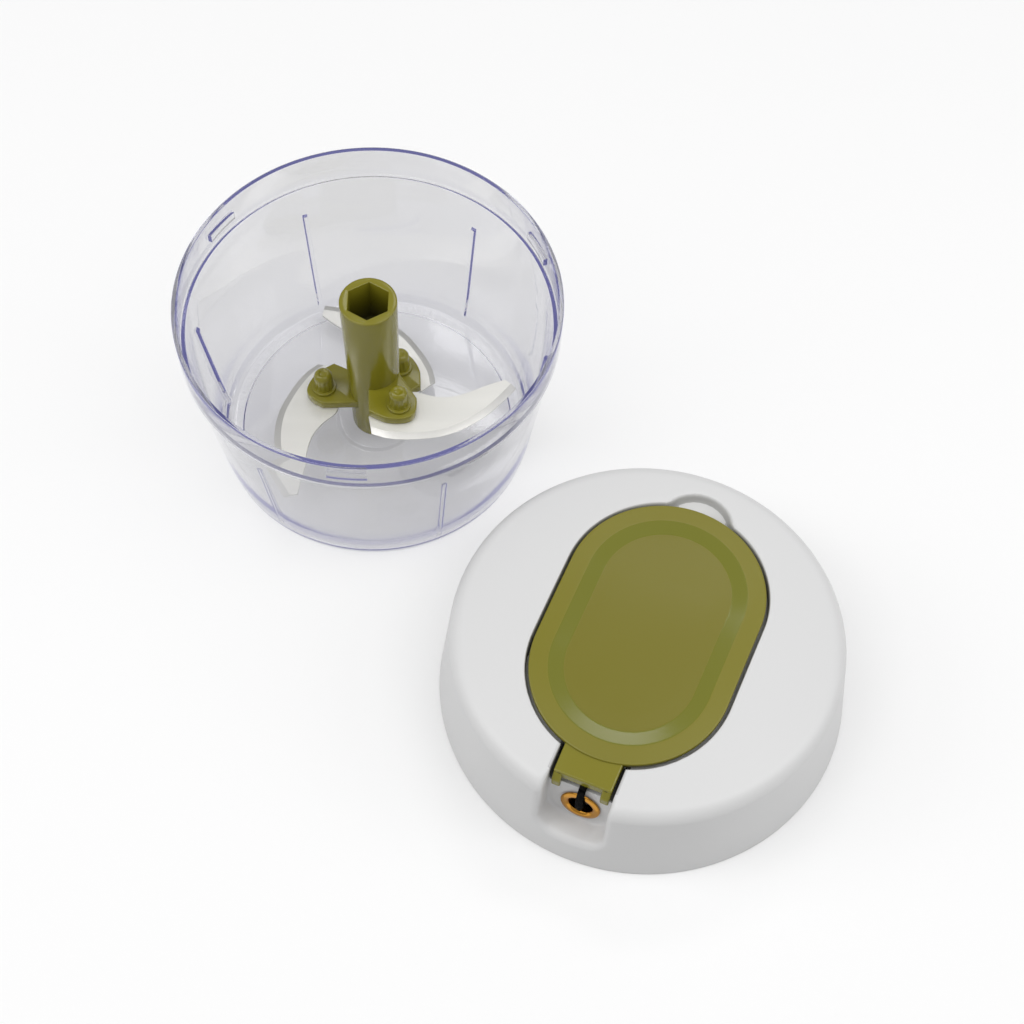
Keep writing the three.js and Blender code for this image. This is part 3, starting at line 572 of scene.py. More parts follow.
class Graph:
    """A small helper that places and wires shader nodes."""

    def __init__(self, tree: bpy.types.NodeTree) -> None:
        """Starts on an empty node tree."""
        self.tree = tree
        tree.nodes.clear()

    def add(self, kind: str, values: Optional[dict] = None, **settings: object) -> bpy.types.Node:
        """Adds a node.

        Args:
            kind: The node's type, without the words that all shader nodes start with.
            values: Its sockets by name or number, each a plain value or an output to wire in.
            settings: Its properties.

        Returns:
            The new node.
        """
        node = self.tree.nodes.new(kind if kind.startswith("Node") else "ShaderNode" + kind)
        for key, value in settings.items():
            setattr(node, key, value)
        for key, value in (values or {}).items():
            self.wire(node, key, value)
        return node

    def wire(self, node: bpy.types.Node, key: object, value: object) -> None:
        """Sets one input to a plain value, or links an output to it.

        Args:
            node: The node that has the input.
            key: The input's name or number.
            value: The value or the output.
        """
        if isinstance(value, Socket):
            self.tree.links.new(value, node.inputs[key])
        else:
            node.inputs[key].default_value = value

    def math(self, operation: str, *values: object) -> Socket:
        """One step of arithmetic on up to three values."""
        return self.add("Math", dict(enumerate(values)), operation=operation).outputs[0]

    def noise(self, place: Socket, scale: object, detail: float) -> Socket:
        """Soft noise over a place, mostly around one half."""
        return self.add("TexNoise", {"Vector": place, "Scale": scale, "Detail": detail}).outputs["Fac"]

    def ramp(self, value: object, source: Sequence[float], target: Sequence[float] = (0.0, 1.0)) -> Socket:
        """Maps a value from one range onto another, kept inside it.

        Args:
            value: The value, or the output that has it.
            source: The range that it comes from.
            target: The range that it is brought into.

        Returns:
            The mapped value's output.
        """
        names = ("From Min", "From Max", "To Min", "To Max")
        values = {"Value": value, **dict(zip(names, (*source, *target)))}
        return self.add("MapRange", values, clamp=True).outputs["Result"]

    def blend(self, share: object, first: object, second: object) -> Socket:
        """Mixes two colours by a share."""
        return self.add("Mix", {0: share, 6: first, 7: second}, data_type="RGBA").outputs[2]

    def either(self, share: Socket, first: Socket, second: Socket) -> Socket:
        """Mixes two shaders by a share."""
        return self.add("MixShader", {0: share, 1: first, 2: second}).outputs[0]

    def emission(self, colour: object, strength: float) -> Socket:
        """A shader that glows evenly."""
        return self.add("Emission", {"Color": colour, "Strength": strength}).outputs[0]


def group(name: str, inputs: dict[str, float], outputs: Sequence[str]) -> tuple[bpy.types.NodeTree, Graph]:
    """Starts a shader node group that reads a place and numbers and puts out numbers.

    Args:
        name: The group's name.
        inputs: Each number that it reads, with its usual value.
        outputs: The names of its outputs.

    Returns:
        The group and a graph on it that already holds its two end nodes, named In and Out.
    """
    tree = bpy.data.node_groups.new(name, "ShaderNodeTree")
    graph = Graph(tree)
    tree.interface.new_socket("Place", in_out="INPUT", socket_type="NodeSocketVector")
    for key, value in inputs.items():
        tree.interface.new_socket(key, in_out="INPUT", socket_type="NodeSocketFloat").default_value = value
    for key in outputs:
        tree.interface.new_socket(key, in_out="OUTPUT", socket_type="NodeSocketFloat")
    graph.add("NodeGroupInput", name="In")
    graph.add("NodeGroupOutput", name="Out")
    return tree, graph


@cache
def moulded_skin() -> bpy.types.NodeTree:
    """The faint texture of a moulded surface, shared by every plastic.

    Fine noise gives the mould's grain as a height. Broad noise gives slow changes of gloss and
    tone, as fingers and the melt's flow leave them.

    Returns:
        The node group.
    """
    tree, graph = group("moulded_skin", {"Grain": 900.0, "Cloud": 30.0}, ("Height", "Gloss", "Tone"))
    source, target = tree.nodes["In"].outputs, tree.nodes["Out"]
    place, slow = source["Place"], 11.0
    graph.wire(target, "Height", graph.noise(place, source["Grain"], 3.0))
    graph.wire(target, "Gloss", graph.ramp(graph.noise(place, source["Cloud"], 4.0), MIDDLE_OF_NOISE))
    graph.wire(target, "Tone", graph.ramp(graph.noise(place, slow, 2.0), MIDDLE_OF_NOISE))
    return tree


@cache
def brushed_lines() -> bpy.types.NodeTree:
    """The fine parallel lines of brushed or turned metal.

    The place is stretched along one axis before it reaches the noise, so that its grains become
    long lines. A second, coarser layer breaks their evenness.

    Returns:
        The node group.
    """
    tree, graph = group("brushed_lines", {"Fineness": 1.0, "Cloud": 0.05}, ("Lines", "Cloud"))
    source, target = tree.nodes["In"].outputs, tree.nodes["Out"]
    graph.wire(target, "Lines", graph.noise(source["Place"], source["Fineness"], 4.0))
    graph.wire(target, "Cloud", graph.ramp(graph.noise(source["Place"], source["Cloud"], 3.0), (0.35, 0.65)))
    return tree


@dataclass(frozen=True)
class Finish:
    """What a piece is made of. Each finish makes its material once."""

    name: str
    slot: Slot
    colour: Colour
    roughness: float

    def material(self) -> bpy.types.Material:
        """The finish as a material, made at its first use.

        Returns:
            The material.
        """
        found = bpy.data.materials.get(self.name)
        if found is not None:
            return found
        made = bpy.data.materials.new(self.name)
        made.use_nodes = True
        made.diffuse_color = self.colour
        graph = Graph(made.node_tree)
        out = graph.add("OutputMaterial", name="Out")
        self.paint(graph, graph.add("TexCoord", name="Place").outputs["Object"], out)
        return made

    def paint(self, graph: Graph, place: Socket, out: bpy.types.Node) -> None:
        """Builds the finish's nodes; each kind of finish has its own."""
        raise NotImplementedError

    def toned(self, share: float) -> Colour:
        """The finish's colour times a share, at most full."""
        return tuple(min(value * share, 1.0) for value in self.colour[:3]) + (1.0,)

    def around(self, drift: float) -> tuple[float, float]:
        """The range of roughness that a drift leaves round the finish's own."""
        return self.roughness - drift / 2, self.roughness + drift / 2

    @staticmethod
    def surface(
        graph: Graph, colour: object, rough: object, relief: tuple[Socket, float], more: dict,
    ) -> Socket:
        """The material's main shader.

        Args:
            graph: The material's nodes.
            colour: Its base colour.
            rough: Its roughness.
            relief: A height from 0 to 1, and what a height of 1 is in metres.
            more: Further inputs of the shader.

        Returns:
            The shader's output.
        """
        bump = graph.add("Bump", {"Height": relief[0], "Distance": relief[1]})
        values = {"Base Color": colour, "Roughness": rough, "Normal": bump.outputs["Normal"], **more}
        return graph.add("BsdfPrincipled", values).outputs[0]


@dataclass(frozen=True)
class MouldedPlastic(Finish):
    """Opaque moulded plastic: a tone that drifts a little, and a gloss broken by its grain."""

    tone: float = 0.04
    gloss_drift: float = 0.06
    grain: float = 900.0
    grain_depth: float = 0.00001
    painted_shade_foot: float = 0.0
    painted_shade_top: float = 0.0
    painted_shade_share: float = 1.0

    def paint(self, graph: Graph, place: Socket, out: bpy.types.Node) -> None:
        """Mixes a lighter and a darker tone by slow noise, and bumps the fine grain.

        Painted shade can darken the colour low down: full below the lower of two heights, fading out
        by the upper one, in place of the shade in hollows and at a foot.

        Args:
            graph: The material's nodes.
            place: The place in the piece's own frame.
            out: The material's output node.
        """
        skin = graph.add("Group", node_tree=moulded_skin())
        graph.wire(skin, "Place", place)
        graph.wire(skin, "Grain", self.grain)
        colour = graph.blend(skin.outputs["Tone"], self.toned(1 - self.tone), self.toned(1 + self.tone))
        # Painted shade: darker below the lower height, fading out by the upper one.
        if self.painted_shade_share < 1.0:
            height = graph.add("SeparateXYZ", {0: place}).outputs[2]
            depth = graph.ramp(height, (self.painted_shade_foot * MM, self.painted_shade_top * MM))
            colour = graph.blend(depth, self.toned(self.painted_shade_share), colour)
        rough = graph.ramp(skin.outputs["Gloss"], (0.0, 1.0), self.around(self.gloss_drift))
        relief = (skin.outputs["Height"], self.grain_depth)
        graph.wire(out, "Surface", self.surface(graph, colour, rough, relief, {"IOR": PLASTIC_IOR}))


@dataclass(frozen=True)
class ClearPlastic(Finish):
    """Clear plastic that takes a violet tint where light runs a long way inside it; its edges glow with
    painted violet light.
    """

    grain: float = 90.0
    grain_depth: float = 0.00003
    depth: float = 30.0
    deep_colour: Colour = (0.46, 0.46, 0.6, 1.0)
    shadow_share: float = 0.96
    shadow_blue: float = 1.004
    mirrored_after: float = 3.5
    trapped_after: float = 9.5
    trapped_glow_colour: Colour = shade(124, 124, 180)

    def paint(self, graph: Graph, place: Socket, out: bpy.types.Node) -> None:
        """Glass with absorption inside; light that only passes through it loses a slight share.

        A path that has been mirrored or bent many times is taken as trapped in an edge, and there
        the glass is swapped for an even violet glow: painted light.

        Args:
            graph: The material's nodes.
            place: The place in the piece's own frame.
            out: The material's output node.
        """
        skin = graph.add("Group", node_tree=moulded_skin())
        graph.wire(skin, "Place", place)
        graph.wire(skin, "Grain", self.grain)
        rough = graph.ramp(skin.outputs["Gloss"], (0.0, 1.0), self.around(self.roughness))
        relief = (skin.outputs["Height"], self.grain_depth)
        more = {"IOR": PLASTIC_IOR, "Transmission Weight": 1.0}
        glass = self.surface(graph, self.colour, rough, relief, more)
        share = self.shadow_share
        tint = (share, share, share * self.shadow_blue, 1.0)
        clear = graph.add("BsdfTransparent", {"Color": tint}).outputs[0]
        path = graph.add("LightPath").outputs
        mirrored = graph.math("GREATER_THAN", path["Glossy Depth"], self.mirrored_after)
        long = graph.math("GREATER_THAN", path["Ray Depth"], self.trapped_after)
        trapped = graph.math("MAXIMUM", mirrored, long)
        # Painted light: trapped paths see an even violet glow instead of the glass.
        edge = graph.either(trapped, glass, graph.emission(self.trapped_glow_colour, 1.0))
        scattered = graph.math("GREATER_THAN", path["Diffuse Depth"], ANY_BOUNCE)
        passing = graph.math("MAXIMUM", path["Is Shadow Ray"], scattered)
        graph.wire(out, "Surface", graph.either(passing, edge, clear))
        inside = graph.add("VolumeAbsorption", {"Color": self.deep_colour, "Density": self.depth})
        graph.wire(out, "Volume", inside.outputs[0])


@dataclass(frozen=True)
class WorkedMetal(Finish):
    """Metal with the lines of its last working."""

    stretch: tuple[float, float, float] = (4000.0, 60.0, 4000.0)
    line_depth: float = 0.000004
    gloss_drift: float = 0.12
    tone: float = 0.06
    metallic: float = 1.0

    def paint(self, graph: Graph, place: Socket, out: bpy.types.Node) -> None:
        """Stretches the place along the lines, then uses the noise for tone, gloss and bump.

        Args:
            graph: The material's nodes.
            place: The place in the piece's own frame.
            out: The material's output node.
        """
        mapping = graph.add("Mapping", {"Vector": place, "Scale": self.stretch})
        lines = graph.add("Group", node_tree=brushed_lines())
        graph.wire(lines, "Place", mapping.outputs["Vector"])
        colour = graph.blend(lines.outputs["Cloud"], self.toned(1 - self.tone), self.colour)
        rough = graph.ramp(lines.outputs["Lines"], MIDDLE_OF_NOISE, self.around(self.gloss_drift))
        relief = (lines.outputs["Lines"], self.line_depth)
        graph.wire(out, "Surface", self.surface(graph, colour, rough, relief, {"Metallic": self.metallic}))


@dataclass(frozen=True)
class BraidedCord(Finish):
    """Black braided cord: two sets of strands that wind opposite ways."""

    strands: float = 8.0
    lay: float = 2.4
    valley: float = -0.6
    # How much lighter the strands' crowns are than the valleys between them.
    crown_tone: float = 1.8
    strand_height: float = 0.00016
    shine: float = 0.07

    def paint(self, graph: Graph, place: Socket, out: bpy.types.Node) -> None:
        """Adds the waves of both strand directions, from the lengths along and round the cord.

        Args:
            graph: The material's nodes.
            place: The place in the piece's own frame.
            out: The material's output node.
        """
        source = graph.add("UVMap", uv_map="lengths")
        parts = graph.add("SeparateXYZ", {0: source.outputs[0]}).outputs
        waves = []
        for side in (1.0, -1.0):
            along = graph.math("MULTIPLY", parts[0], side * FULL_TURN / self.lay)
            around = graph.math("MULTIPLY_ADD", parts[1], self.strands / 2, along)
            waves.append(graph.math("SINE", around))
        share = graph.ramp(graph.math("MAXIMUM", *waves), (self.valley, 1.0))
        colour = graph.blend(share, self.colour, self.toned(self.crown_tone))
        relief = (share, self.strand_height)
        body = self.surface(graph, colour, self.roughness, relief, {"Specular IOR Level": self.shine})
        graph.wire(out, "Surface", body)


CLEAR = ClearPlastic("clear_bowl_plastic", Slot.CLEAR, (0.8, 0.8, 0.81, 1.0), roughness=0.03)
OLIVE = MouldedPlastic(
    "olive_moulding", Slot.OLIVE, shade(127, 121, 32), roughness=0.18, tone=0.03, grain_depth=0.000006,
)
# Painted shade in the carrier's hex socket: darker towards its floor.
SHADED_SOCKET = replace(OLIVE, name="olive_socket_painted_shade", painted_shade_foot=51.0, painted_shade_top=69.0, painted_shade_share=0.2)
SATIN = replace(OLIVE, name="olive_satin", colour=shade(122, 116, 26), roughness=0.34)
# Darker copies of the olive for the handle's slope ring and dish: painted shade.
SHADED_SLOPE = replace(OLIVE, name="olive_slope_painted_shade", colour=shade(114, 115, 35), roughness=0.16)
SHADED_DISH = replace(SATIN, name="olive_dish_painted_shade", colour=shade(117, 111, 24))
# Grey plastic; its lowest 0.7 mm is darkened by painted shade, a contact shadow line at the lid's foot.
GREY = MouldedPlastic(
    "grey_moulding", Slot.GREY, shade(216, 216, 216), roughness=0.42,
    tone=0.012, painted_shade_top=0.7, painted_shade_share=0.35,
)
# Painted shade on the recess's walls and the channel, darker towards the recess floor.
SHADED_WELL = replace(GREY, name="grey_well_painted_shade", painted_shade_foot=31.3, painted_shade_top=36.4, painted_shade_share=0.16)
# A lighter painted shade for the notch's walls.
SHADED_SCOOP = replace(SHADED_WELL, name="grey_scoop_painted_shade", painted_shade_share=0.64)
NYLON = MouldedPlastic(
    "white_moulding", Slot.WHITE, shade(238, 237, 231), roughness=0.42, tone=0.02, grain_depth=0.00002,
)
BLADE = WorkedMetal(
    "brushed_blade_steel", Slot.BLADE, shade(233, 232, 227), roughness=0.4,
    stretch=(40.0, 2600.0, 2600.0), metallic=0.42,
)
GROUND = WorkedMetal(
    "ground_bevel", Slot.BLADE, shade(205, 204, 200), roughness=0.36,
    stretch=(2600.0, 900.0, 900.0), line_depth=0.00003, metallic=0.68,
)
STEEL = WorkedMetal(
    "turned_steel", Slot.STEEL, shade(196, 198, 201), roughness=0.28, stretch=(60.0, 60.0, 4000.0),
)
BRASS = WorkedMetal(
    "polished_brass", Slot.BRASS, shade(198, 142, 58), roughness=0.14, stretch=(300.0, 300.0, 300.0),
)
CORD = BraidedCord("black_braid", Slot.CORD, (0.004, 0.004, 0.004, 1.0), roughness=0.9)


# Sub-assemblies


@dataclass
class Cord:
    """The pull cord: its turns on the drum, its run to the eyelet, and what shows outside."""

    radius: float = 1.15
    aside: float = 0.4
    tail: tuple = (
        (50.9, 19.2), (52.2, 19.5), (53.5, 20.6), (54.2, 22.4),
        (54.25, 24.2), (54.0, 26.0), (53.4, 27.8), (52.4, 29.1),
    )
    stub: tuple = ((52.3, 29.3), (49.85, 29.9), (47.5, 30.35), (43.7, 31.1))
    knot_radius: float = 2.1
    knot_relief: float = 0.08
    knot_strands: tuple[int, int] = (2, 5)
    drum_radius: float = 19.0
    drum_gap: float = 0.3
    winding_middle: float = 18.2
    turn_gap: float = 0.02
    turns: int = 3
    turn_samples: int = 48
    lead_end: float = 50.4

    def side_route(self, points: Route, count: int) -> Array:
        """A route in the lid's upright middle plane, as points in the lid's frame."""
        flat = smooth_route(points, count)
        return np.stack((flat[:, 0], np.full(count, self.aside), flat[:, 1]), axis=-1)

    def winding_route(self) -> Array:
        """The cord's helix on the drum: each turn climbs by the diameter and a small gap.

        Returns:
            The helix's points in the lid's frame.
        """
        turn = np.linspace(0.0, FULL_TURN * self.turns, self.turns * self.turn_samples + 1)
        pitch = 2 * self.radius + self.turn_gap
        height = self.winding_middle + pitch * (turn / FULL_TURN - self.turns / 2)
        return polar(self.drum_radius + self.drum_gap + self.radius, turn, height)

    def knot(self) -> Shape:
        """The knot: a ball whose radius swells along two strands.

        The radius follows the cosine of two times the bearing plus five times the cosine of the
        angle from the top.

        Returns:
            The ball, with its lengths for the braid.
        """
        steps = np.linspace(0.0, FULL_TURN, 32, endpoint=False)
        up, round_ = np.meshgrid(np.linspace(0.0, math.pi, 25), steps, indexing="ij")
        strands, twist = self.knot_strands
        swell = np.cos(strands * round_ + twist * np.cos(up))
        reach = self.knot_radius * (1 - self.knot_relief + self.knot_relief * swell)
        end_u, end_z = self.stub[-1]
        ball = polar(reach * np.sin(up), round_, reach * np.cos(up))
        shape = Shape.grid(ball + (end_u, self.aside, end_z))
        shape.cloth = np.stack((up * self.knot_radius, round_), axis=-1).reshape(-1, 2)
        return shape

    def build(self, shop: Workshop, place: Matrix) -> None:
        """Makes the four stretches of cord; the outer one is put on no body.

        Args:
            shop: The workshop that makes the pieces.
            place: The lid's place, in millimetres.
        """
        tail = Shape.tube(self.side_route(self.tail, 40), self.radius).moved(place)
        shown = shop.piece("cord_tail_braid", tail, None, CORD, ["cord_tail"])
        start = place @ Vector((self.tail[0][0], self.aside, self.tail[0][1]))
        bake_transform(shown)
        inner = Shape.tube(self.side_route(self.stub, 24), self.radius).plus(self.knot()).moved(place)
        shop.piece("cord_knot_braid", inner, "handle", CORD, ["cord_knot"])
        winding = Shape.tube(self.winding_route(), self.radius, sides=10).moved(place)
        shop.piece("cord_turns", winding, "reel", CORD, ["cord_winding"])
        away = self.drum_radius + 2 * self.drum_gap + 3 * self.radius
        turn = math.acos(away / math.hypot(self.lead_end, self.aside)) + math.atan2(self.aside, self.lead_end)
        start = (away * math.cos(turn), away * math.sin(turn), self.winding_middle)
        run = legs([np.array(start), np.array((self.lead_end, self.aside, self.tail[0][1]))], [12])
        shop.piece("cord_run", Shape.tube(run, self.radius).moved(place), "lid", CORD, ["cord_lead"])


@dataclass
class Bowl:
    """The clear bowl: a turned wall whose inner face swells into six ribs and three tabs."""

    height: float = 69.8
    rim_radius: float = 60.0
    rim_inner: float = 58.55
    rim_round: float = 0.5
    collar_foot: float = 58.0
    collar_lean: float = 0.3
    step: float = 0.8
    wall: float = 1.5
    body_top_radius: float = 58.4
    heel_top_radius: float = 53.35
    heel_top: float = 20.0
    foot_radius: float = 48.6
    floor_radius: float = 46.5
    floor: float = 3.0
    foot_ring: float = 4.0
    sole: float = 0.5
    ring_side: tuple = (  # from the ring's inner radius, share of the sole's height
        (-1.2, 1.0), (-0.5, 1.0), (-0.35, 0.8), (-0.1, 0.1), (0.0, 0.0), (1.0, 0.0),
    )
    plain_rows: tuple = (40.0, 33.0, 26.0)  # heights on the wall between the ribs' ends and the heel
    straight_share: float = 0.6
    bulge_share: float = 0.5
    rib_count: int = 6
    rib_bearing: float = 56.0
    rib_bottom: float = 6.0
    rib_top: float = 46.5
    rib_width: float = 1.5
    rib_depth: float = 1.0
    rib_start: tuple = ((-0.8, 0.0), (0.6, 1.0))  # height from the rib's bottom, share of its depth
    rib_end: tuple = ((-0.75, 1.0), (-0.3, 0.95), (0.0, 0.75), (0.2, 0.35), (0.35, 0.0))  # from its top
    rib_side: tuple = ((0.12, 0.0), (0.0, 0.7), (-0.12, 0.95), (-0.3, 1.0))  # from its half width
    tab_count: int = 3
    tab_bearing: float = 26.6
    tab_span: float = 11.5
    tab_top: float = 65.0
    tab_height: float = 3.0
    tab_depth: float = 1.3
    seat_radius: float = 13.3
    seat_top_radius: float = 12.3
    seat_top: float = 4.2
    socket_radius: float = 2.8
    socket_floor: float = 1.3
    edge: float = 0.12
    spacing: float = 1.5  # degrees between plain columns
    clear_of_features: float = 0.9  # of the spacing: how near to a rib's column a plain one may lie

    @property
    def slope(self) -> float:
        """How far the straight wall leans out for each millimetre of height."""
        return (self.body_top_radius - self.heel_top_radius) / (self.collar_foot - self.wall - self.heel_top)

    def heel(self, foot: float, radius: float, bottom: float, steps: int = 20) -> Array:
        """The heel's cubic Bezier curve, from the flat foot to the straight wall.

        Args:
            foot: Radius where the flat foot ends.
            radius: Radius where the straight wall starts.
            bottom: Height of the flat foot.
            steps: How many stretches the curve has.

        Returns:
            Rows of radius and height.
        """
        fall = (self.heel_top - bottom) * self.straight_share
        knots = np.array([
            (foot, bottom),
            (foot + (radius - foot) * self.bulge_share, bottom),
            (radius - self.slope * fall, self.heel_top - fall),
            (radius, self.heel_top),
        ])
        t = np.linspace(0.0, 1.0, steps + 1)[:, None]
        weights = ((1 - t) ** 3, 3 * t * (1 - t) ** 2, 3 * t**2 * (1 - t), t**3)
        return sum(weight * knot for weight, knot in zip(weights, knots))

    def outer_profile(self) -> Array:
        """From the middle of the underside, up the outside to the rim's top edge.

        Returns:
            Rows of radius and height.
        """
        upper = soften([
            (self.heel_top_radius, self.heel_top),
            (self.body_top_radius, self.collar_foot - self.wall),
            (self.rim_radius - self.collar_lean, self.collar_foot - self.wall + self.step),
            (self.rim_radius, self.height),
            (self.rim_inner, self.height),
        ], self.rim_round)
        ring = self.foot_radius - self.foot_ring
        sole = [(0.0, self.sole), (ring / 2, self.sole)]
        sole += [(ring + out, self.sole * share) for out, share in self.ring_side]
        return np.concatenate((sole, self.heel(self.foot_radius, self.heel_top_radius, 0.0), upper[1:-1]))

    def inner_profile(self) -> Array:
        """From the rim's inner top edge down to the pin's socket in the seat.

        Returns:
            Rows of radius and height.
        """
        tab_foot = self.tab_top - self.tab_height
        collar = [(self.rim_inner + self.edge, self.height)]
        tab_rows = (self.tab_top + self.edge, self.tab_top, tab_foot, tab_foot - self.edge)
        collar += [(self.rim_inner, height) for height in (self.height - self.edge, *tab_rows)]
        inner = self.heel_top_radius - self.wall
        ledge = inner + self.slope * (self.collar_foot - self.heel_top)
        collar += soften([
            (self.rim_inner, tab_foot - 2 * self.edge),
            (self.rim_inner, self.collar_foot),
            (ledge, self.collar_foot),
            (ledge - self.slope, self.collar_foot - 1.0),
        ], 0.25).tolist()
        rib_rows = [self.rib_top + row[0] for row in self.rib_end[::-1]]
        rows = (*rib_rows, *self.plain_rows)
        straight = [(inner + self.slope * (height - self.heel_top), height) for height in rows]
        heel = self.heel(self.floor_radius, inner, self.floor)[::-1]
        seat = soften([
            (self.floor_radius, self.floor),
            (self.floor_radius - 1.5, self.floor),
            (self.floor_radius - 6.0, self.floor),
            (self.seat_radius + 6.0, self.floor),
            (self.seat_radius + 1.5, self.floor),
            (self.seat_radius, self.floor),
            (self.seat_top_radius, self.seat_top),
            (self.socket_radius, self.seat_top),
            (self.socket_radius, self.socket_floor),
            (0.0, self.socket_floor),
        ], 0.4)
        return np.concatenate((collar, straight, heel, seat[1:]))

    def columns(self) -> tuple[Array, Array, Array, Array]:
        """The grid's columns: bearing, sideways offset, and how much each is on a rib or a tab.

        Returns:
            Four rows: bearings, offsets, shares on a rib and shares on a tab.
        """
        rows = []
        across = [(self.rib_width / 2 + offset, share) for offset, share in self.rib_side]
        for k in range(self.rib_count):
            bearing = math.radians(self.rib_bearing + k * 360 / self.rib_count)
            rows += [(bearing, -offset, share, 0.0) for offset, share in across]
            rows += [(bearing, offset, share, 0.0) for offset, share in ((0.0, 1.0), *across[::-1])]
        for k in range(self.tab_count):
            bearing = self.tab_bearing + k * 360 / self.tab_count
            for side in (-1, 1):
                angle = math.radians(bearing + side * self.tab_span / 2)
                rows += [(angle, side * self.edge, 0.0, 0.0), (angle, 0.0, 0.0, 1.0)]
        taken = np.array([row[0] for row in rows])
        step = math.radians(self.spacing)
        plain = np.arange(0.0, FULL_TURN, step)
        gap = np.abs((plain[:, None] - taken[None, :] + math.pi) % FULL_TURN - math.pi).min(axis=1)
        tabs = self.tab_bearing + np.arange(self.tab_count) * 360 / self.tab_count
        for angle in plain[gap > step * self.clear_of_features]:
            away = np.abs((math.degrees(angle) - tabs + 180) % 360 - 180)
            rows.append((angle, 0.0, 0.0, float(away.min() < self.tab_span / 2)))
        table = np.array(rows)
        table[:, 0] %= FULL_TURN
        order = np.argsort(table[:, 0] + table[:, 1] / self.heel_top_radius, kind="stable")
        return tuple(table[order].T)

    def shape(self) -> Shape:
        """The whole bowl as one closed grid.

        A point's angle is its column's bearing plus the offset over the radius. On the inner face
        the radius is less by the rib's depth times two shares, across and along the rib, and by
        the tab's depth where column and row both lie on a tab.

        Returns:
            The bowl in the shared frame.
        """
        outer, inner = self.outer_profile(), self.inner_profile()
        profile = np.concatenate((outer, inner))
        radius, height = profile[:, :1], profile[:, 1:]
        bearing, offset, rib, tab = (row[None, :] for row in self.columns())
        is_inner = (np.arange(len(profile)) >= len(outer))[:, None]
        ends = [(self.rib_bottom + offset, share) for offset, share in self.rib_start]
        ends += [(self.rib_top + offset, share) for offset, share in self.rib_end]
        along = np.interp(height, *zip(*ends))
        floor = self.tab_top - self.tab_height
        on_tab = ((height > floor - self.edge / 2) & (height < self.tab_top + self.edge / 2)).astype(float)
        depth = self.rib_depth * along * rib + self.tab_depth * on_tab * tab
        reach = radius - np.where(is_inner, depth, 0.0)
        turn = bearing + offset / np.maximum(radius, self.floor_radius)
        return Shape.grid(polar(reach, turn, height))

    def build(self, shop: Workshop) -> None:
        """Makes the bowl and dresses its pin."""
        shop.piece("bowl_wall", self.shape(), "bowl", CLEAR, ["bowl"], sharp=28.0)
        shop.dress("pivot_pin", STEEL)


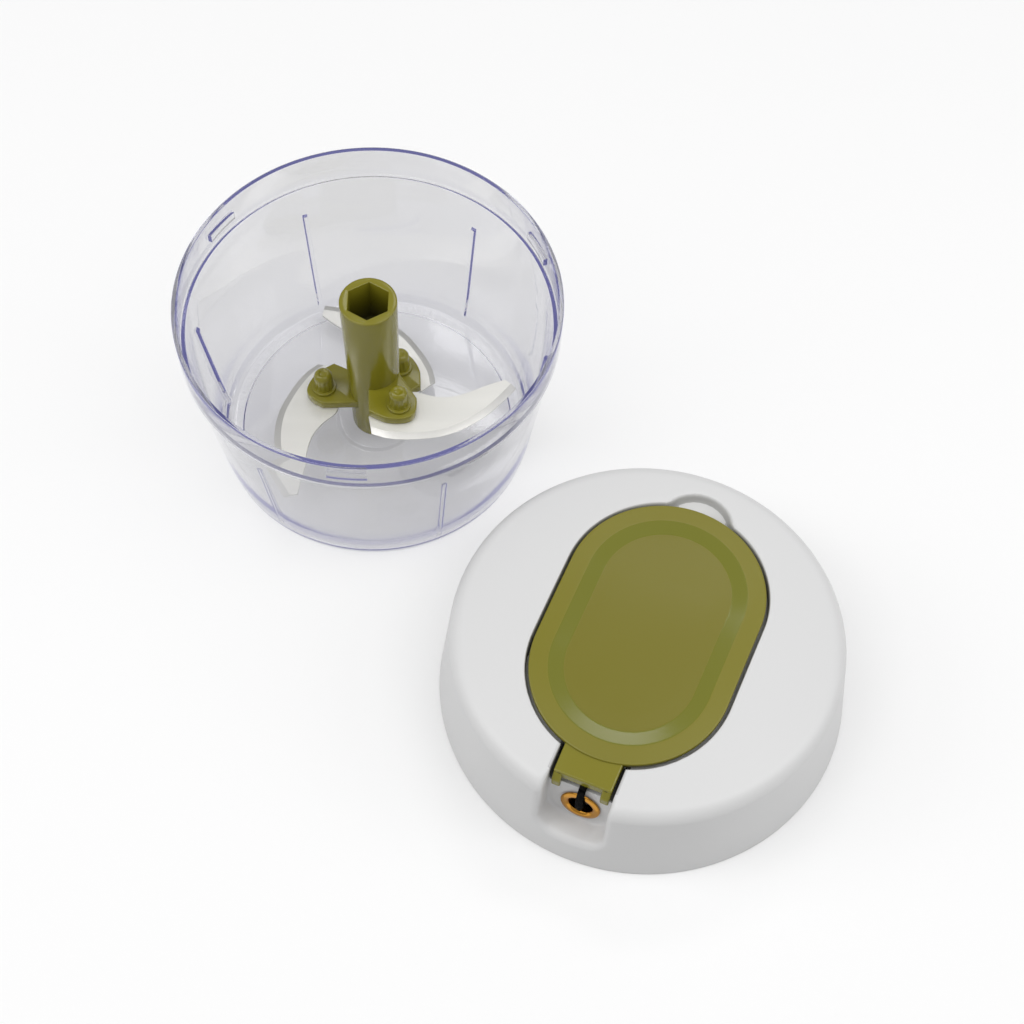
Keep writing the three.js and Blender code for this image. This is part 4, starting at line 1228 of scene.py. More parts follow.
@dataclass
class Carrier:
    """The blade carrier: its tube with the hexagonal socket, three pads, blades and studs."""

    tube_top: float = 69.6
    tube_foot: float = 4.5
    top_radius: float = 9.0
    foot_radius: float = 7.9
    edge: float = 0.7
    socket_radius: float = 7.1
    socket_depth: float = 17.6
    socket_turn: float = 30.0
    socket_mouth: tuple = ((0.25, 0.0), (0.08, 0.08), (0.0, 0.25))  # wider by, below the top by
    socket_taper: float = 0.1
    bore_radius: float = 2.8
    bore_top: float = 50.0
    counterbore_radius: float = 4.8
    counterbore_top: float = 5.5
    bearing: float = -57.0
    count: int = 3
    first_pad_top: float = 32.7
    pad_step: float = 10.44
    pad_thickness: float = 3.4
    pad_edge: float = 0.45
    stud_reach: float = 16.3
    pad_nose: float = 5.7
    pad_outline_shares: tuple = (
        ((-1.9, 1.07), (0.12, 1.07)),
        ((0.12, 1.07), (0.965, 0.63), (1.0, 0.14)),
        ((1.0, 0.14), (0.93, -0.5), (0.3, -1.13)),
        ((0.3, -1.13), (-0.19, -1.46), (-0.54, -1.63)),
        ((-0.54, -1.63), (-1.9, -0.9)),
    )
    blade_thickness: float = 1.0
    blade_edge: float = 0.2
    blade_reach: float = 46.1
    bevel_width: float = 2.2
    bevel_fall: float = 0.02
    bevel_run_out: float = 0.12
    back_chamfer: float = 0.1
    ground_tilt: tuple[float, float] = (0.5, 0.98)  # how far up the bevel's faces look
    cutting_edge_shares: tuple = (
        (0.084, -0.393), (0.218, -0.279), (0.333, -0.123), (0.434, 0.064), (0.501, 0.228),
        (0.538, 0.41), (0.543, 0.601), (0.52, 0.809), (0.467, 1.02), (0.4, 1.222),
    )
    back_edge_shares: tuple = (
        (-0.104, -0.319), (-0.15, -0.17), (-0.172, 0.0), (-0.16, 0.135), (-0.114, 0.265),
        (0.03, 0.4), (0.132, 0.55), (0.185, 0.74), (0.212, 0.96), (0.252, 1.168),
    )
    stud_radius: float = 3.0
    stud_rise: float = 8.2
    stud_flutes: int = 12
    flute_depth: float = 0.16
    flute_ends: tuple[float, float] = (0.4, 1.0)
    collar_radius: float = 3.9
    collar_height: float = 1.1
    dome: float = 1.6
    dome_corner: tuple[float, float] = (0.86, 0.45)  # of the stud's radius and of the dome's height
    dimple_radius: float = 1.3
    dimple_shares: tuple[float, float] = (1.25, 0.8)  # of its radius, at its rim and on its floor
    dimple_depth: float = 0.5
    stud_flange_radius: float = 4.6
    stud_flange_height: float = 1.4

    def pad_top(self, k: int) -> float:
        """Height of the k-th pad's top."""
        return self.first_pad_top - self.pad_step * k

    def turn(self, k: int) -> Matrix:
        """The k-th blade's turn about the carrier's axis."""
        return Matrix.Rotation(math.radians(self.bearing - k * 360 / self.count), 4, "Z")

    def tube(self) -> Shape:
        """The tube as one closed grid: each row is a circle or, in the socket, a hexagon.

        A hexagon's radius in a direction is its corner radius times the cosine of 30 degrees over
        the cosine of the direction's angle from the nearest side's middle.

        Returns:
            The tube in the shared frame.
        """
        lip = self.edge / 2
        outside = soften([
            (self.counterbore_radius, self.tube_foot),
            (self.foot_radius, self.tube_foot),
            (self.top_radius, self.tube_top),
            (self.socket_radius + lip, self.tube_top),
        ], self.edge)
        circles = np.concatenate(([
            (0.0, self.bore_top),
            (self.bore_radius, self.bore_top),
            (self.bore_radius, self.counterbore_top),
            (self.counterbore_radius, self.counterbore_top),
        ], outside[:-1]))
        floor = self.tube_top - self.socket_depth
        inner = self.socket_radius
        mouth = [(inner + wider, self.tube_top - below) for wider, below in self.socket_mouth]
        hexagons = np.array([*mouth, (inner - self.socket_taper, floor), (0.0, floor)])
        turn = np.radians(self.socket_turn + np.arange(0.0, 360.0, 2.5))
        from_side = (turn - math.radians(self.socket_turn)) % (math.pi / 3) - math.pi / 6
        sides = math.cos(math.pi / 6) / np.cos(from_side)
        round_rows = np.outer(circles[:, 0], np.ones_like(sides))
        radius = np.concatenate((round_rows, np.outer(hexagons[:, 0], sides)))
        height = np.concatenate((circles[:, 1:], hexagons[:, 1:]))
        return Shape.grid(polar(radius, turn, height))

    def pad(self, k: int) -> Shape:
        """The k-th pad: its outline is a chain of straight and quadratic stretches.

        Args:
            k: The pad's number, counted from the highest.

        Returns:
            The pad in its place.
        """
        rows = []
        for knots in self.pad_outline_shares:
            t = np.linspace(0.0, 1.0, 13)[:-1, None]
            places = [np.array(knot) for knot in knots]
            if len(places) == 2:
                rows.append(places[0] + (places[1] - places[0]) * t)
            else:
                rows.append(places[0] * (1 - t) ** 2 + places[1] * 2 * t * (1 - t) + places[2] * t**2)
        outline = np.concatenate(rows) * self.pad_nose + (self.stud_reach, 0.0)
        top = self.pad_top(k)
        return Shape.slab(outline[::-1], top - self.pad_thickness, top, self.pad_edge).moved(self.turn(k))

    def blade(self, k: int) -> Shape:
        """The k-th blade: a section of edge, bevel, flat and back, carried along its two curves.

        Args:
            k: The blade's number, counted from the highest.

        Returns:
            The blade in its place.
        """
        span = self.blade_reach - self.stud_reach
        edge, back = (
            smooth_route(shares, 72) * span + (self.stud_reach, 0.0)
            for shares in (self.cutting_edge_shares, self.back_edge_shares)
        )
        across = back - edge
        width = np.linalg.norm(across, axis=1, keepdims=True)
        bevel = edge + across * self.bevel_width / width
        ease_in = edge + across * (self.bevel_width + self.bevel_run_out) / width
        chamfer = self.back_chamfer
        inner = back - across * chamfer / width
        top = self.pad_top(k) - self.pad_thickness
        bottom = top - self.blade_thickness
        rows = (
            (edge, bottom), (edge, bottom + self.blade_edge), (bevel, top - self.bevel_fall), (ease_in, top),
            (inner, top), (back, top - chamfer), (back, bottom + chamfer), (inner, bottom),
        )
        points = np.stack([at_heights(flat, height) for flat, height in rows], axis=1)
        return Shape.grid(points, caps=True).moved(self.turn(k))

    def stud(self, k: int) -> Shape:
        """The k-th stud, whose shaft is fluted: its radius falls by the depth times a raised cosine.

        Args:
            k: The stud's number, counted from the highest.

        Returns:
            The stud in its place.
        """
        base = self.pad_top(k)
        blade_foot = base - self.pad_thickness - self.blade_thickness
        top = base + self.stud_rise
        start, stop = base + self.collar_height, top - self.dome
        lower = soften([
            (0.0, blade_foot - self.stud_flange_height),
            (self.stud_flange_radius, blade_foot - self.stud_flange_height),
            (self.stud_flange_radius, blade_foot),
            (self.stud_radius, blade_foot),
            (self.stud_radius, base),
            (self.collar_radius, base),
            (self.collar_radius, start),
            (self.stud_radius, start),
        ], 0.25)
        shaft = legs([(self.stud_radius, start + 0.2), (self.stud_radius, stop)], [10])
        across, down = self.dome_corner
        rim, floor = self.dimple_shares
        head = soften([
            (self.stud_radius, stop),
            (self.stud_radius * across, top - self.dome * down),
            (self.dimple_radius * rim, top),
            (self.dimple_radius * floor, top - self.dimple_depth),
            (0.0, top - self.dimple_depth),
        ], 0.5)
        profile = np.concatenate((lower, shaft, head[1:]))
        turn = np.linspace(0.0, FULL_TURN, self.stud_flutes * 8, endpoint=False)
        height = profile[:, 1:]
        run_in, run_out = self.flute_ends
        on_shaft = np.clip((height - start) / run_in, 0, 1) * np.clip((stop - height) / run_out + 0.5, 0, 1)
        flute = self.flute_depth * (0.5 - 0.5 * np.cos(self.stud_flutes * turn))
        shift = Matrix.Translation((self.stud_reach, 0.0, 0.0))
        return Shape.grid(polar(profile[:, :1] - on_shaft * flute, turn, height)).moved(self.turn(k) @ shift)

    def build(self, shop: Workshop) -> None:
        """Makes the tube with its pads, then the blades and studs.

        Args:
            shop: The workshop that makes the pieces.
        """
        body = self.tube()
        for k in range(self.count):
            body = body.plus(self.pad(k))
        tube = shop.piece("carrier_tube", body, "blade_carrier", OLIVE, ["blade_hub"], sharp=32.0)
        # The socket's inner faces get painted shade that darkens towards the socket's floor.
        x, y, z = face_places(tube)
        narrower, above, below = 0.02, 0.5, 0.01
        inside = np.hypot(x, y) < self.socket_radius - narrower
        inside &= (z > self.bore_top + above) & (z < self.tube_top - below)
        shop.add_finish(tube, SHADED_SOCKET, inside)
        low, high = self.ground_tilt
        for k in range(self.count):
            name, packed = f"blade_steel_{k + 1}", f"blade_{k + 1}"
            blade = shop.piece(name, self.blade(k), "blade_carrier", BLADE, [packed], sharp=12.0)
            tilt = face_values(blade, "normal")[:, 2]
            shop.add_finish(blade, GROUND, (tilt > low) & (tilt < high))
            shop.piece(f"blade_stud_{k + 1}", self.stud(k), "blade_carrier", OLIVE, [f"blade_pin_{k + 1}"])


@dataclass
class Cap:
    """The lid's cap as two skins, outer and inner, over one plan of rows and columns.

    Every column starts at the lid's axis. A column inside the cord's channel keeps its distance
    from the middle plane, and runs over the channel's floor, down the pocket's back wall, over
    its floor and down the lid's side. Every other column crosses the recess's wall, the dome,
    the shoulder and the side. The walls between both kinds have columns of their own. Then each
    point slides onto the surface where the distance to the rounded body is zero.
    """

    DOME_SAMPLES = 200
    SIDE_SAMPLES = 120
    ROWS = {"floor": 10, "mouth": 2, "wall": 9, "shelf": 16, "drop": 18, "base": 16, "lip": 14, "side": 8}
    BESIDE_CHANNEL = (0.0, 0.15, 0.4, 0.8, 1.3, 2.0, 2.8, 3.8, 5.0, 6.4, 8.0, 10.0, 12.5, 15.0)
    ACROSS_WALL = (0.03, 0.09, 0.18, 0.3, 0.44, 0.58, 0.7, 0.8, 0.87, 0.925, 0.965, 0.99)

    height: float = 38.5
    foot_radius: float = 62.8
    foot_chamfer: float = 0.5
    lean: float = 0.1033
    shoulder: float = 5.0
    dome_span: float = 55.5
    dome_rise: float = 4.0
    inset: float = 0.0
    recess_half: float = 14.0
    recess_radius: float = 31.3
    recess_floor: float = 31.3
    notch_reach: float = 40.0
    notch_radius: float = 10.8
    channel_half: float = 10.1
    channel_start: float = 40.5
    channel_floor: float = 28.0
    pocket_back: float = 52.2
    pocket_lean: float = 0.105
    pocket_height: float = 19.2
    pocket_floor: float = 11.4
    pocket_corner: float = 6.0
    edge_round: float = 0.7
    notch_round: float = 1.6
    lip_round: float = 2.2
    inner_round: float = 1.2
    recess_foot_round: float = 0.5
    notch_foot_round: float = 2.4
    lip_zone: tuple[float, float] = (51.0, 5.0)  # where the wide rounding starts, and its run-in
    notch_zone: tuple[float, float] = (33.0, 9.0)
    skirt_top: float = 0.5
    shoulder_start: float = 53.5
    side_rows: tuple[float, float] = (17.0, 9.5)  # heights on the side where the rows' spacing changes
    lip_shares: tuple[float, float, float] = (1.0, 0.9, 0.82)  # how the channel's columns close in below
    lip_height: float = 0.62  # of the pocket floor's height
    before_wall: float = 0.96  # of the recess's reach: where a column leaves its straight run
    least_slope: float = 0.2

    @property
    def dome_radius(self) -> float:
        """Radius of the outer dome, from its rise over its span."""
        return (self.dome_span**2 + self.dome_rise**2) / (2 * self.dome_rise)

    def dome(self, u: Array, n: Array) -> Array:
        """Height of the dome over a place."""
        radius = self.dome_radius
        return self.height - radius + np.sqrt((radius - self.inset) ** 2 - u**2 - n**2)

    def side_radius(self, z: Array) -> Array:
        """Radius of the leaning side at a height."""
        return self.foot_radius - self.inset * math.hypot(1.0, self.lean) - self.lean * z

    def shoulder_centre(self) -> tuple[float, float]:
        """Centre of the shoulder's arc: it lies a shoulder's radius inside both side and dome.

        Returns:
            Its radius and height.
        """
        reach = math.hypot(1.0, self.lean)
        offset = self.foot_radius - self.shoulder * reach
        middle = self.height - self.dome_radius
        total = offset * self.lean + middle
        rest = offset**2 + middle**2 - (self.dome_radius - self.shoulder) ** 2
        z = (total + math.sqrt(total**2 - reach**2 * rest)) / reach**2
        return offset - self.lean * z, z

    def body_distance(self, r: Array, z: Array) -> Array:
        """Distance to the cap's outside: to the shoulder's arc within its wedge, else to dome or side.

        Args:
            r: Distances from the lid's axis.
            z: Heights.

        Returns:
            The distances, negative inside.
        """
        middle = self.height - self.dome_radius
        centre_r, centre_z = self.shoulder_centre()
        dome = np.hypot(r, z - middle) - (self.dome_radius - self.inset)
        side = (r - self.side_radius(z)) / math.hypot(1.0, self.lean)
        angle = np.arctan2(z - centre_z, r - centre_r)
        low, high = math.atan(self.lean), math.atan2(centre_z - middle, centre_r)
        arc = np.hypot(r - centre_r, z - centre_z) - (self.shoulder - self.inset)
        return np.where((angle > low) & (angle < high), arc, np.maximum(dome, side))

    def back_at(self, z: Array) -> Array:
        """Reach of the pocket's leaning back wall at a height."""
        return self.pocket_back + (self.pocket_height - z) * self.pocket_lean

    def plan(self, u: Array, n: Array) -> tuple[Array, Array]:
        """Distances to the recess and to the notch as seen from above."""
        recess = stadium(u, n, self.recess_half, self.recess_radius)
        return recess, np.hypot(u + self.notch_reach, n) - self.notch_radius

    def hollow_distance(self, u: Array, n: Array, z: Array) -> Array:
        """Distance to the recess, notch, channel and pocket together: the least of the four.

        Args:
            u: Places along the cord's direction.
            n: Places aside of the middle plane.
            z: Heights.

        Returns:
            The distances, negative in a hollow.
        """
        aside = np.abs(n)
        recess, notch = self.plan(u, n)
        recess = round_both(recess, self.recess_floor - z, self.recess_foot_round)
        notch = round_both(notch, self.recess_floor - z, self.notch_foot_round)
        channel = np.maximum(self.channel_start - u, self.channel_floor - z)
        channel = np.maximum(channel, aside - self.channel_half)
        back = (self.back_at(z) - u) / math.hypot(1.0, self.pocket_lean)
        scoop = round_both(aside - self.channel_half, self.pocket_floor - z, self.pocket_corner)
        pocket = round_both(scoop, back, self.inner_round)
        return np.minimum(np.minimum(recess, notch), np.minimum(channel, pocket))

    def distance(self, points: Array) -> Array:
        """Distance to the cap without its hollows, its outer edges rounded more at the pocket and notch.

        Args:
            points: Places in the lid's frame, as u, n and z.

        Returns:
            The distances, negative inside the cap.
        """
        u, n, z = points[..., 0], points[..., 1], points[..., 2]
        to_lip = np.clip((u - self.lip_zone[0]) / self.lip_zone[1], 0, 1)
        to_notch = np.clip((-u - self.notch_zone[0]) / self.notch_zone[1], 0, 1)
        radius = self.edge_round + (self.lip_round - self.edge_round) * to_lip * to_lip * (3 - 2 * to_lip)
        radius = radius + (self.notch_round - self.edge_round) * to_notch
        return round_both(self.body_distance(np.hypot(u, n), z), -self.hollow_distance(u, n, z), radius)

    def settled(self, points: Array, rounds: int = 8) -> Array:
        """Slides points onto the rounded surface: each round takes off distance times slope.

        Args:
            points: Places near the surface.
            rounds: How often they slide.

        Returns:
            The places on the surface.
        """
        span = 0.01
        for _ in range(rounds):
            gap = self.distance(points)
            steps = np.eye(3) * span
            rises = [self.distance(points + step) - self.distance(points - step) for step in steps]
            slope = np.stack(rises, axis=-1) / (2 * span)
            size = np.maximum((slope**2).sum(axis=-1), self.least_slope)
            points = points - slope * (gap / size)[..., None]
        return points

    def outside_route(self) -> tuple[Array, Array, Array]:
        """The cap's outer profile as length, radius and height, from the axis to the foot.

        Returns:
            Three rows: length along the profile, radius and height.
        """
        centre_r, centre_z = self.shoulder_centre()
        middle = self.height - self.dome_radius
        low, high = math.atan(self.lean), math.atan2(centre_z - middle, centre_r)
        round_ = self.shoulder - self.inset
        edge = centre_r + round_ * math.cos(high)
        top = np.linspace(0.0, edge, self.DOME_SAMPLES)
        angle = np.linspace(high, low, 40)[1:]
        side = np.linspace(centre_z + round_ * math.sin(low), self.skirt_top, self.SIDE_SAMPLES)[1:]
        r = np.concatenate((top, centre_r + round_ * np.cos(angle), self.side_radius(side)))
        z = np.concatenate((self.dome(top, 0.0), centre_z + round_ * np.sin(angle), side))
        length = np.concatenate(([0.0], np.cumsum(np.hypot(np.diff(r), np.diff(z)))))
        return length, r, z

    def recess_reach(self, angle: Array) -> Array:
        """How far the recess or the notch reaches from the axis in a direction.

        Args:
            angle: Directions from the axis.

        Returns:
            The reach in each direction.
        """
        c, s = np.abs(np.cos(angle)), np.abs(np.sin(angle))
        flat = self.recess_radius / np.maximum(s, 1e-9)
        half = self.recess_half
        bend = half * c + np.sqrt(np.maximum(self.recess_radius**2 - (half * s) ** 2, 0.0))
        reach = np.where(flat * c <= half, flat, bend)
        inside = self.notch_radius**2 - (self.notch_reach * s) ** 2
        over_notch = self.notch_reach * c + np.sqrt(np.maximum(inside, 0.0))
        return np.maximum(reach, np.where((inside > 0) & (np.cos(angle) < 0), over_notch, 0.0))

    def inside_columns(self, aside: Array) -> Array:
        """The columns in the channel, each at its own distance from the middle plane.

        Args:
            aside: Each column's distance from the middle plane.

        Returns:
            Rows by columns by 3.
        """
        flat = self.channel_half - self.pocket_corner
        over = np.clip((aside - flat) / self.pocket_corner, 0.0, 1.0)
        floor = self.pocket_floor + self.pocket_corner * (1 - np.sqrt(1 - over**2))
        apart = 0.05
        low = np.minimum(self.lip_height * floor, floor - apart)
        low = np.maximum(low, self.skirt_top + apart)

        def corner(u: Array, z: Array, n: Array = aside) -> Array:
            """One corner of every column's route."""
            return np.stack(np.broadcast_arrays(u, n, z, aside)[:3], axis=-1)

        def on_side(z: Array, share: float) -> Array:
            """A corner on the lid's side, with the columns drawn together by a share."""
            n = aside * share
            return corner(np.sqrt(self.side_radius(z) ** 2 - n**2), z, n)

        mouth = corner(self.channel_start, self.recess_floor)
        route = [
            corner(0.0, self.recess_floor, 0.0),
            mouth,
            mouth,
            corner(self.channel_start, self.channel_floor),
            corner(self.back_at(self.channel_floor), self.channel_floor),
            corner(self.back_at(floor), floor),
            *map(on_side, (floor, low, self.skirt_top), self.lip_shares),
        ]
        return legs(route, list(self.ROWS.values()))

    def outside_columns(self, aside: Array, share: Array) -> Array:
        """The columns beside the channel and round the lid.

        A column's direction at radius r is the arcsine of its distance from the middle plane over
        r, drawn on towards the far side by its share. On the recess's floor it first runs straight
        to the radius of the channel's mouth.

        Args:
            aside: Each column's distance from the middle plane.
            share: How far each is drawn on to the far side, from 0 to 1.

        Returns:
            Rows by columns by 3.
        """
        def direction(r: Array) -> Array:
            """Each column's direction at a radius."""
            near = np.arcsin(np.clip(aside / r, -1.0, 1.0))
            return near * (1 - share) + math.pi * share

        def on_column(r: Array, z: Array) -> Array:
            """Points of the columns at their radii and heights."""
            return polar(r, direction(r), z)

        reach = np.full_like(aside, self.recess_radius + self.recess_half)
        for _ in range(30):
            reach = 0.5 * reach + 0.5 * self.recess_reach(direction(reach))
        length, radii, heights = self.outside_route()
        dome_radii, dome_length = radii[:self.DOME_SAMPLES], length[:self.DOME_SAMPLES]
        edge = np.interp(reach, dome_radii, dome_length)
        shoulder_end = len(radii) - self.SIDE_SAMPLES
        down, along_side = -heights[shoulder_end:], length[shoulder_end:]
        base, lip = self.side_rows
        least_shelf, above_skirt = 1.2, 0.1
        stations = np.broadcast_arrays(
            edge,
            np.maximum(np.interp(self.shoulder_start, dome_radii, dome_length), edge + least_shelf),
            length[shoulder_end],
            np.interp(-base, down, along_side),
            np.interp(-max(lip, self.skirt_top + above_skirt), down, along_side),
            length[-1],
        )
        run = legs(stations, [self.ROWS[key] for key in ("shelf", "drop", "base", "lip", "side")])
        upper = on_column(np.interp(run, length, radii), np.interp(run, length, heights))
        turn = np.minimum(math.hypot(self.channel_start, self.channel_half), self.before_wall * reach)
        flat = [on_column(r, self.recess_floor) for r in (turn, reach)]
        centre = np.broadcast_to((0.0, 0.0, self.recess_floor), flat[0].shape)
        lower = legs([centre, *flat, upper[0]], [self.ROWS[key] for key in ("floor", "mouth", "wall")])
        return np.concatenate((lower, upper[1:]))

    def skin(self) -> Array:
        """All rows and columns of one skin, mirrored across the middle plane and settled.

        Returns:
            Rows by columns by 3.
        """
        flat = self.channel_half - self.pocket_corner
        bend = flat + self.pocket_corner * np.sin(np.linspace(0.0, math.pi / 2, 14))[1:]
        inside = self.inside_columns(np.concatenate((np.linspace(0.0, flat, 7), bend)))
        near = self.channel_half + np.array(self.BESIDE_CHANNEL)
        far = np.linspace(0.0, 1.0, 61)[1:]
        aside = np.concatenate((near, np.full_like(far, near[-1])))
        outside = self.outside_columns(aside, np.concatenate((np.zeros_like(near), far)))
        shares = np.array(self.ACROSS_WALL)[None, :, None]
        wall = inside[:, -1:] + (outside[:, :1] - inside[:, -1:]) * shares
        half = np.concatenate((inside, wall, outside), axis=1)
        mirrored = half[:, -2:0:-1] * (1.0, -1.0, 1.0)
        return self.settled(np.concatenate((half, mirrored), axis=1))


@dataclass
class Lid:
    """The lid without its handle: cap, base plate, screws, eyelet and the reel inside."""

    NYLON_NODES = ("cord_reel", "hex_drive")
    STEEL_NODES = (
        "lid_screw_1", "lid_screw_2", "lid_screw_3", "reel_axle", "recoil_spring", "spring_cover",
        "reel_washer", "reel_screw",
    )

    cap: Cap = field(default_factory=Cap)
    wall: float = 1.8
    shell_wall: float = 1.9
    pocket_floor_wall: float = 1.2
    skirt_inner: float = 60.4
    rim_seat: float = 10.0
    eyelet_aside: float = 0.4
    eyelet_bore: float = 3.7
    eyelet_barrel: float = 4.4
    eyelet_flange: float = 6.3
    eyelet_height: float = 0.8
    eyelet_back: float = 2.3
    run_gap: float = 0.3
    cap_sharp: float = 50.0
    drill_reach: tuple[float, float] = (-3.0, 2.0)
    # Where the painted shade of the recess's walls and the channel lies:
    shaded_floor: float = 2.6  # how far from the walls the well's finish runs on
    flat_from: float = 0.9  # faces that look up more than this keep the cap's finish
    shaded_aside: float = 8.4

    def inner_cap(self) -> Cap:
        """The cap's inner skin: the same plan with every hollow wider by the wall.

        Returns:
            A cap with the inner skin's sizes.
        """
        wall, outer = self.wall, self.cap
        return replace(
            outer,
            inset=self.shell_wall,
            recess_radius=outer.recess_radius + wall,
            recess_floor=outer.recess_floor - wall,
            notch_radius=outer.notch_radius + wall,
            channel_half=outer.channel_half + wall,
            channel_start=outer.channel_start - wall,
            channel_floor=outer.channel_floor - wall,
            pocket_back=outer.pocket_back - wall,
            pocket_floor=outer.pocket_floor - self.pocket_floor_wall,
            lip_round=outer.edge_round,
            notch_round=outer.edge_round,
            skirt_top=self.rim_seat,
        )

    def shell(self) -> Shape:
        """Both skins as one closed grid, joined round the foot and the ledge for the bowl's rim.

        Returns:
            The closed cap in the lid's frame.
        """
        outer, inner = self.cap.skin(), self.inner_cap().skin()
        direction = outer[-1:, :, :2] / np.linalg.norm(outer[-1:, :, :2], axis=-1, keepdims=True)
        chamfer = 0.2
        foot = [
            (self.cap.foot_radius - self.cap.foot_chamfer, 0.0),
            (self.skirt_inner + chamfer, 0.0),
            (self.skirt_inner, chamfer),
            (self.skirt_inner, self.rim_seat),
        ]
        rings = [at_heights(direction * radius, height) for radius, height in foot]
        return Shape.grid(np.concatenate((outer, *rings, inner[::-1])))

    def eyelet(self) -> Shape:
        """The eyelet's rolled flange and barrel, turned about its own leaning axis.

        Returns:
            The eyelet, with its axis along Z.
        """
        face = self.run_gap + self.eyelet_height
        profile = soften([
            (self.eyelet_bore, 0.0),
            (self.eyelet_bore, -self.eyelet_back),
            (self.eyelet_barrel, -self.eyelet_back),
            (self.eyelet_barrel, self.run_gap),
            (self.eyelet_flange, self.run_gap),
            (self.eyelet_flange - 0.15, face * 0.8),
            (self.eyelet_barrel + 0.7, face),
            (self.eyelet_barrel, face),
            (self.eyelet_bore, face - 0.6),
            (self.eyelet_bore, 0.1),
        ], 0.35)
        return Shape.turned(profile, 64, ring=True)

    def shade_well(self, item: bpy.types.Object, place: Matrix) -> None:
        """Gives the recess's and the notch's walls and the channel painted shade that darkens towards the
        floor.

        Args:
            item: The cap's object.
            place: The lid's place, in millimetres.
        """
        u, n, z = face_places(item, place)
        aside, cap = np.abs(n), self.cap
        recess, notch = cap.plan(u, n)
        near = np.minimum(recess, notch)
        lowest = cap.recess_floor - 0.1
        walls = (near < cap.edge_round) & (near > -self.shaded_floor) & (z > lowest)
        walls &= (face_values(item, "normal")[:, 2] < self.flat_from)
        walls &= (u < cap.channel_start) | (aside > cap.channel_half)
        channel = np.maximum(cap.channel_floor - z, aside - cap.channel_half)
        beside_tab = (aside > self.shaded_aside) & (u >= cap.channel_start) & (u < cap.pocket_back - 0.6)
        walls |= (channel < cap.edge_round) & beside_tab
        in_notch = walls & (notch < recess) & (u < 0)
        # Painted shade: full on the recess's walls and the channel, lighter in the notch.
        Workshop.add_finish(item, SHADED_WELL, walls & ~in_notch)
        Workshop.add_finish(item, SHADED_SCOOP, in_notch)

    def build(self, shop: Workshop, place: Matrix) -> None:
        """Makes the cap and the eyelet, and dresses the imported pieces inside.

        Args:
            shop: The workshop that makes the pieces.
            place: The lid's place, in millimetres.
        """
        cap = shop.piece("lid_cap", self.shell().moved(place), "lid", GREY, ["lid_shell"], self.cap_sharp)
        lean = math.atan(self.cap.pocket_lean)
        middle = Matrix.Translation((self.cap.pocket_back, self.eyelet_aside, self.cap.pocket_height))
        axis = place @ middle @ Matrix.Rotation(math.pi / 2 - lean, 4, "Y")
        bore = self.eyelet_barrel + self.run_gap / 2
        low, high = self.drill_reach
        tool = Shape.turned(np.array([(0.0, low), (bore, low), (bore, high), (0.0, high)]), 64)
        shop.drill(cap, tool.moved(axis), sharp=self.cap_sharp)
        shop.even(cap)
        self.shade_well(cap, place)
        shop.piece("brass_eyelet", self.eyelet().moved(axis), "lid", BRASS, ["cord_eyelet"])
        shop.dress("lid_base", GREY)
        for node in self.NYLON_NODES:
            shop.dress(node, NYLON)
        for node in self.STEEL_NODES:
            shop.dress(node, STEEL)


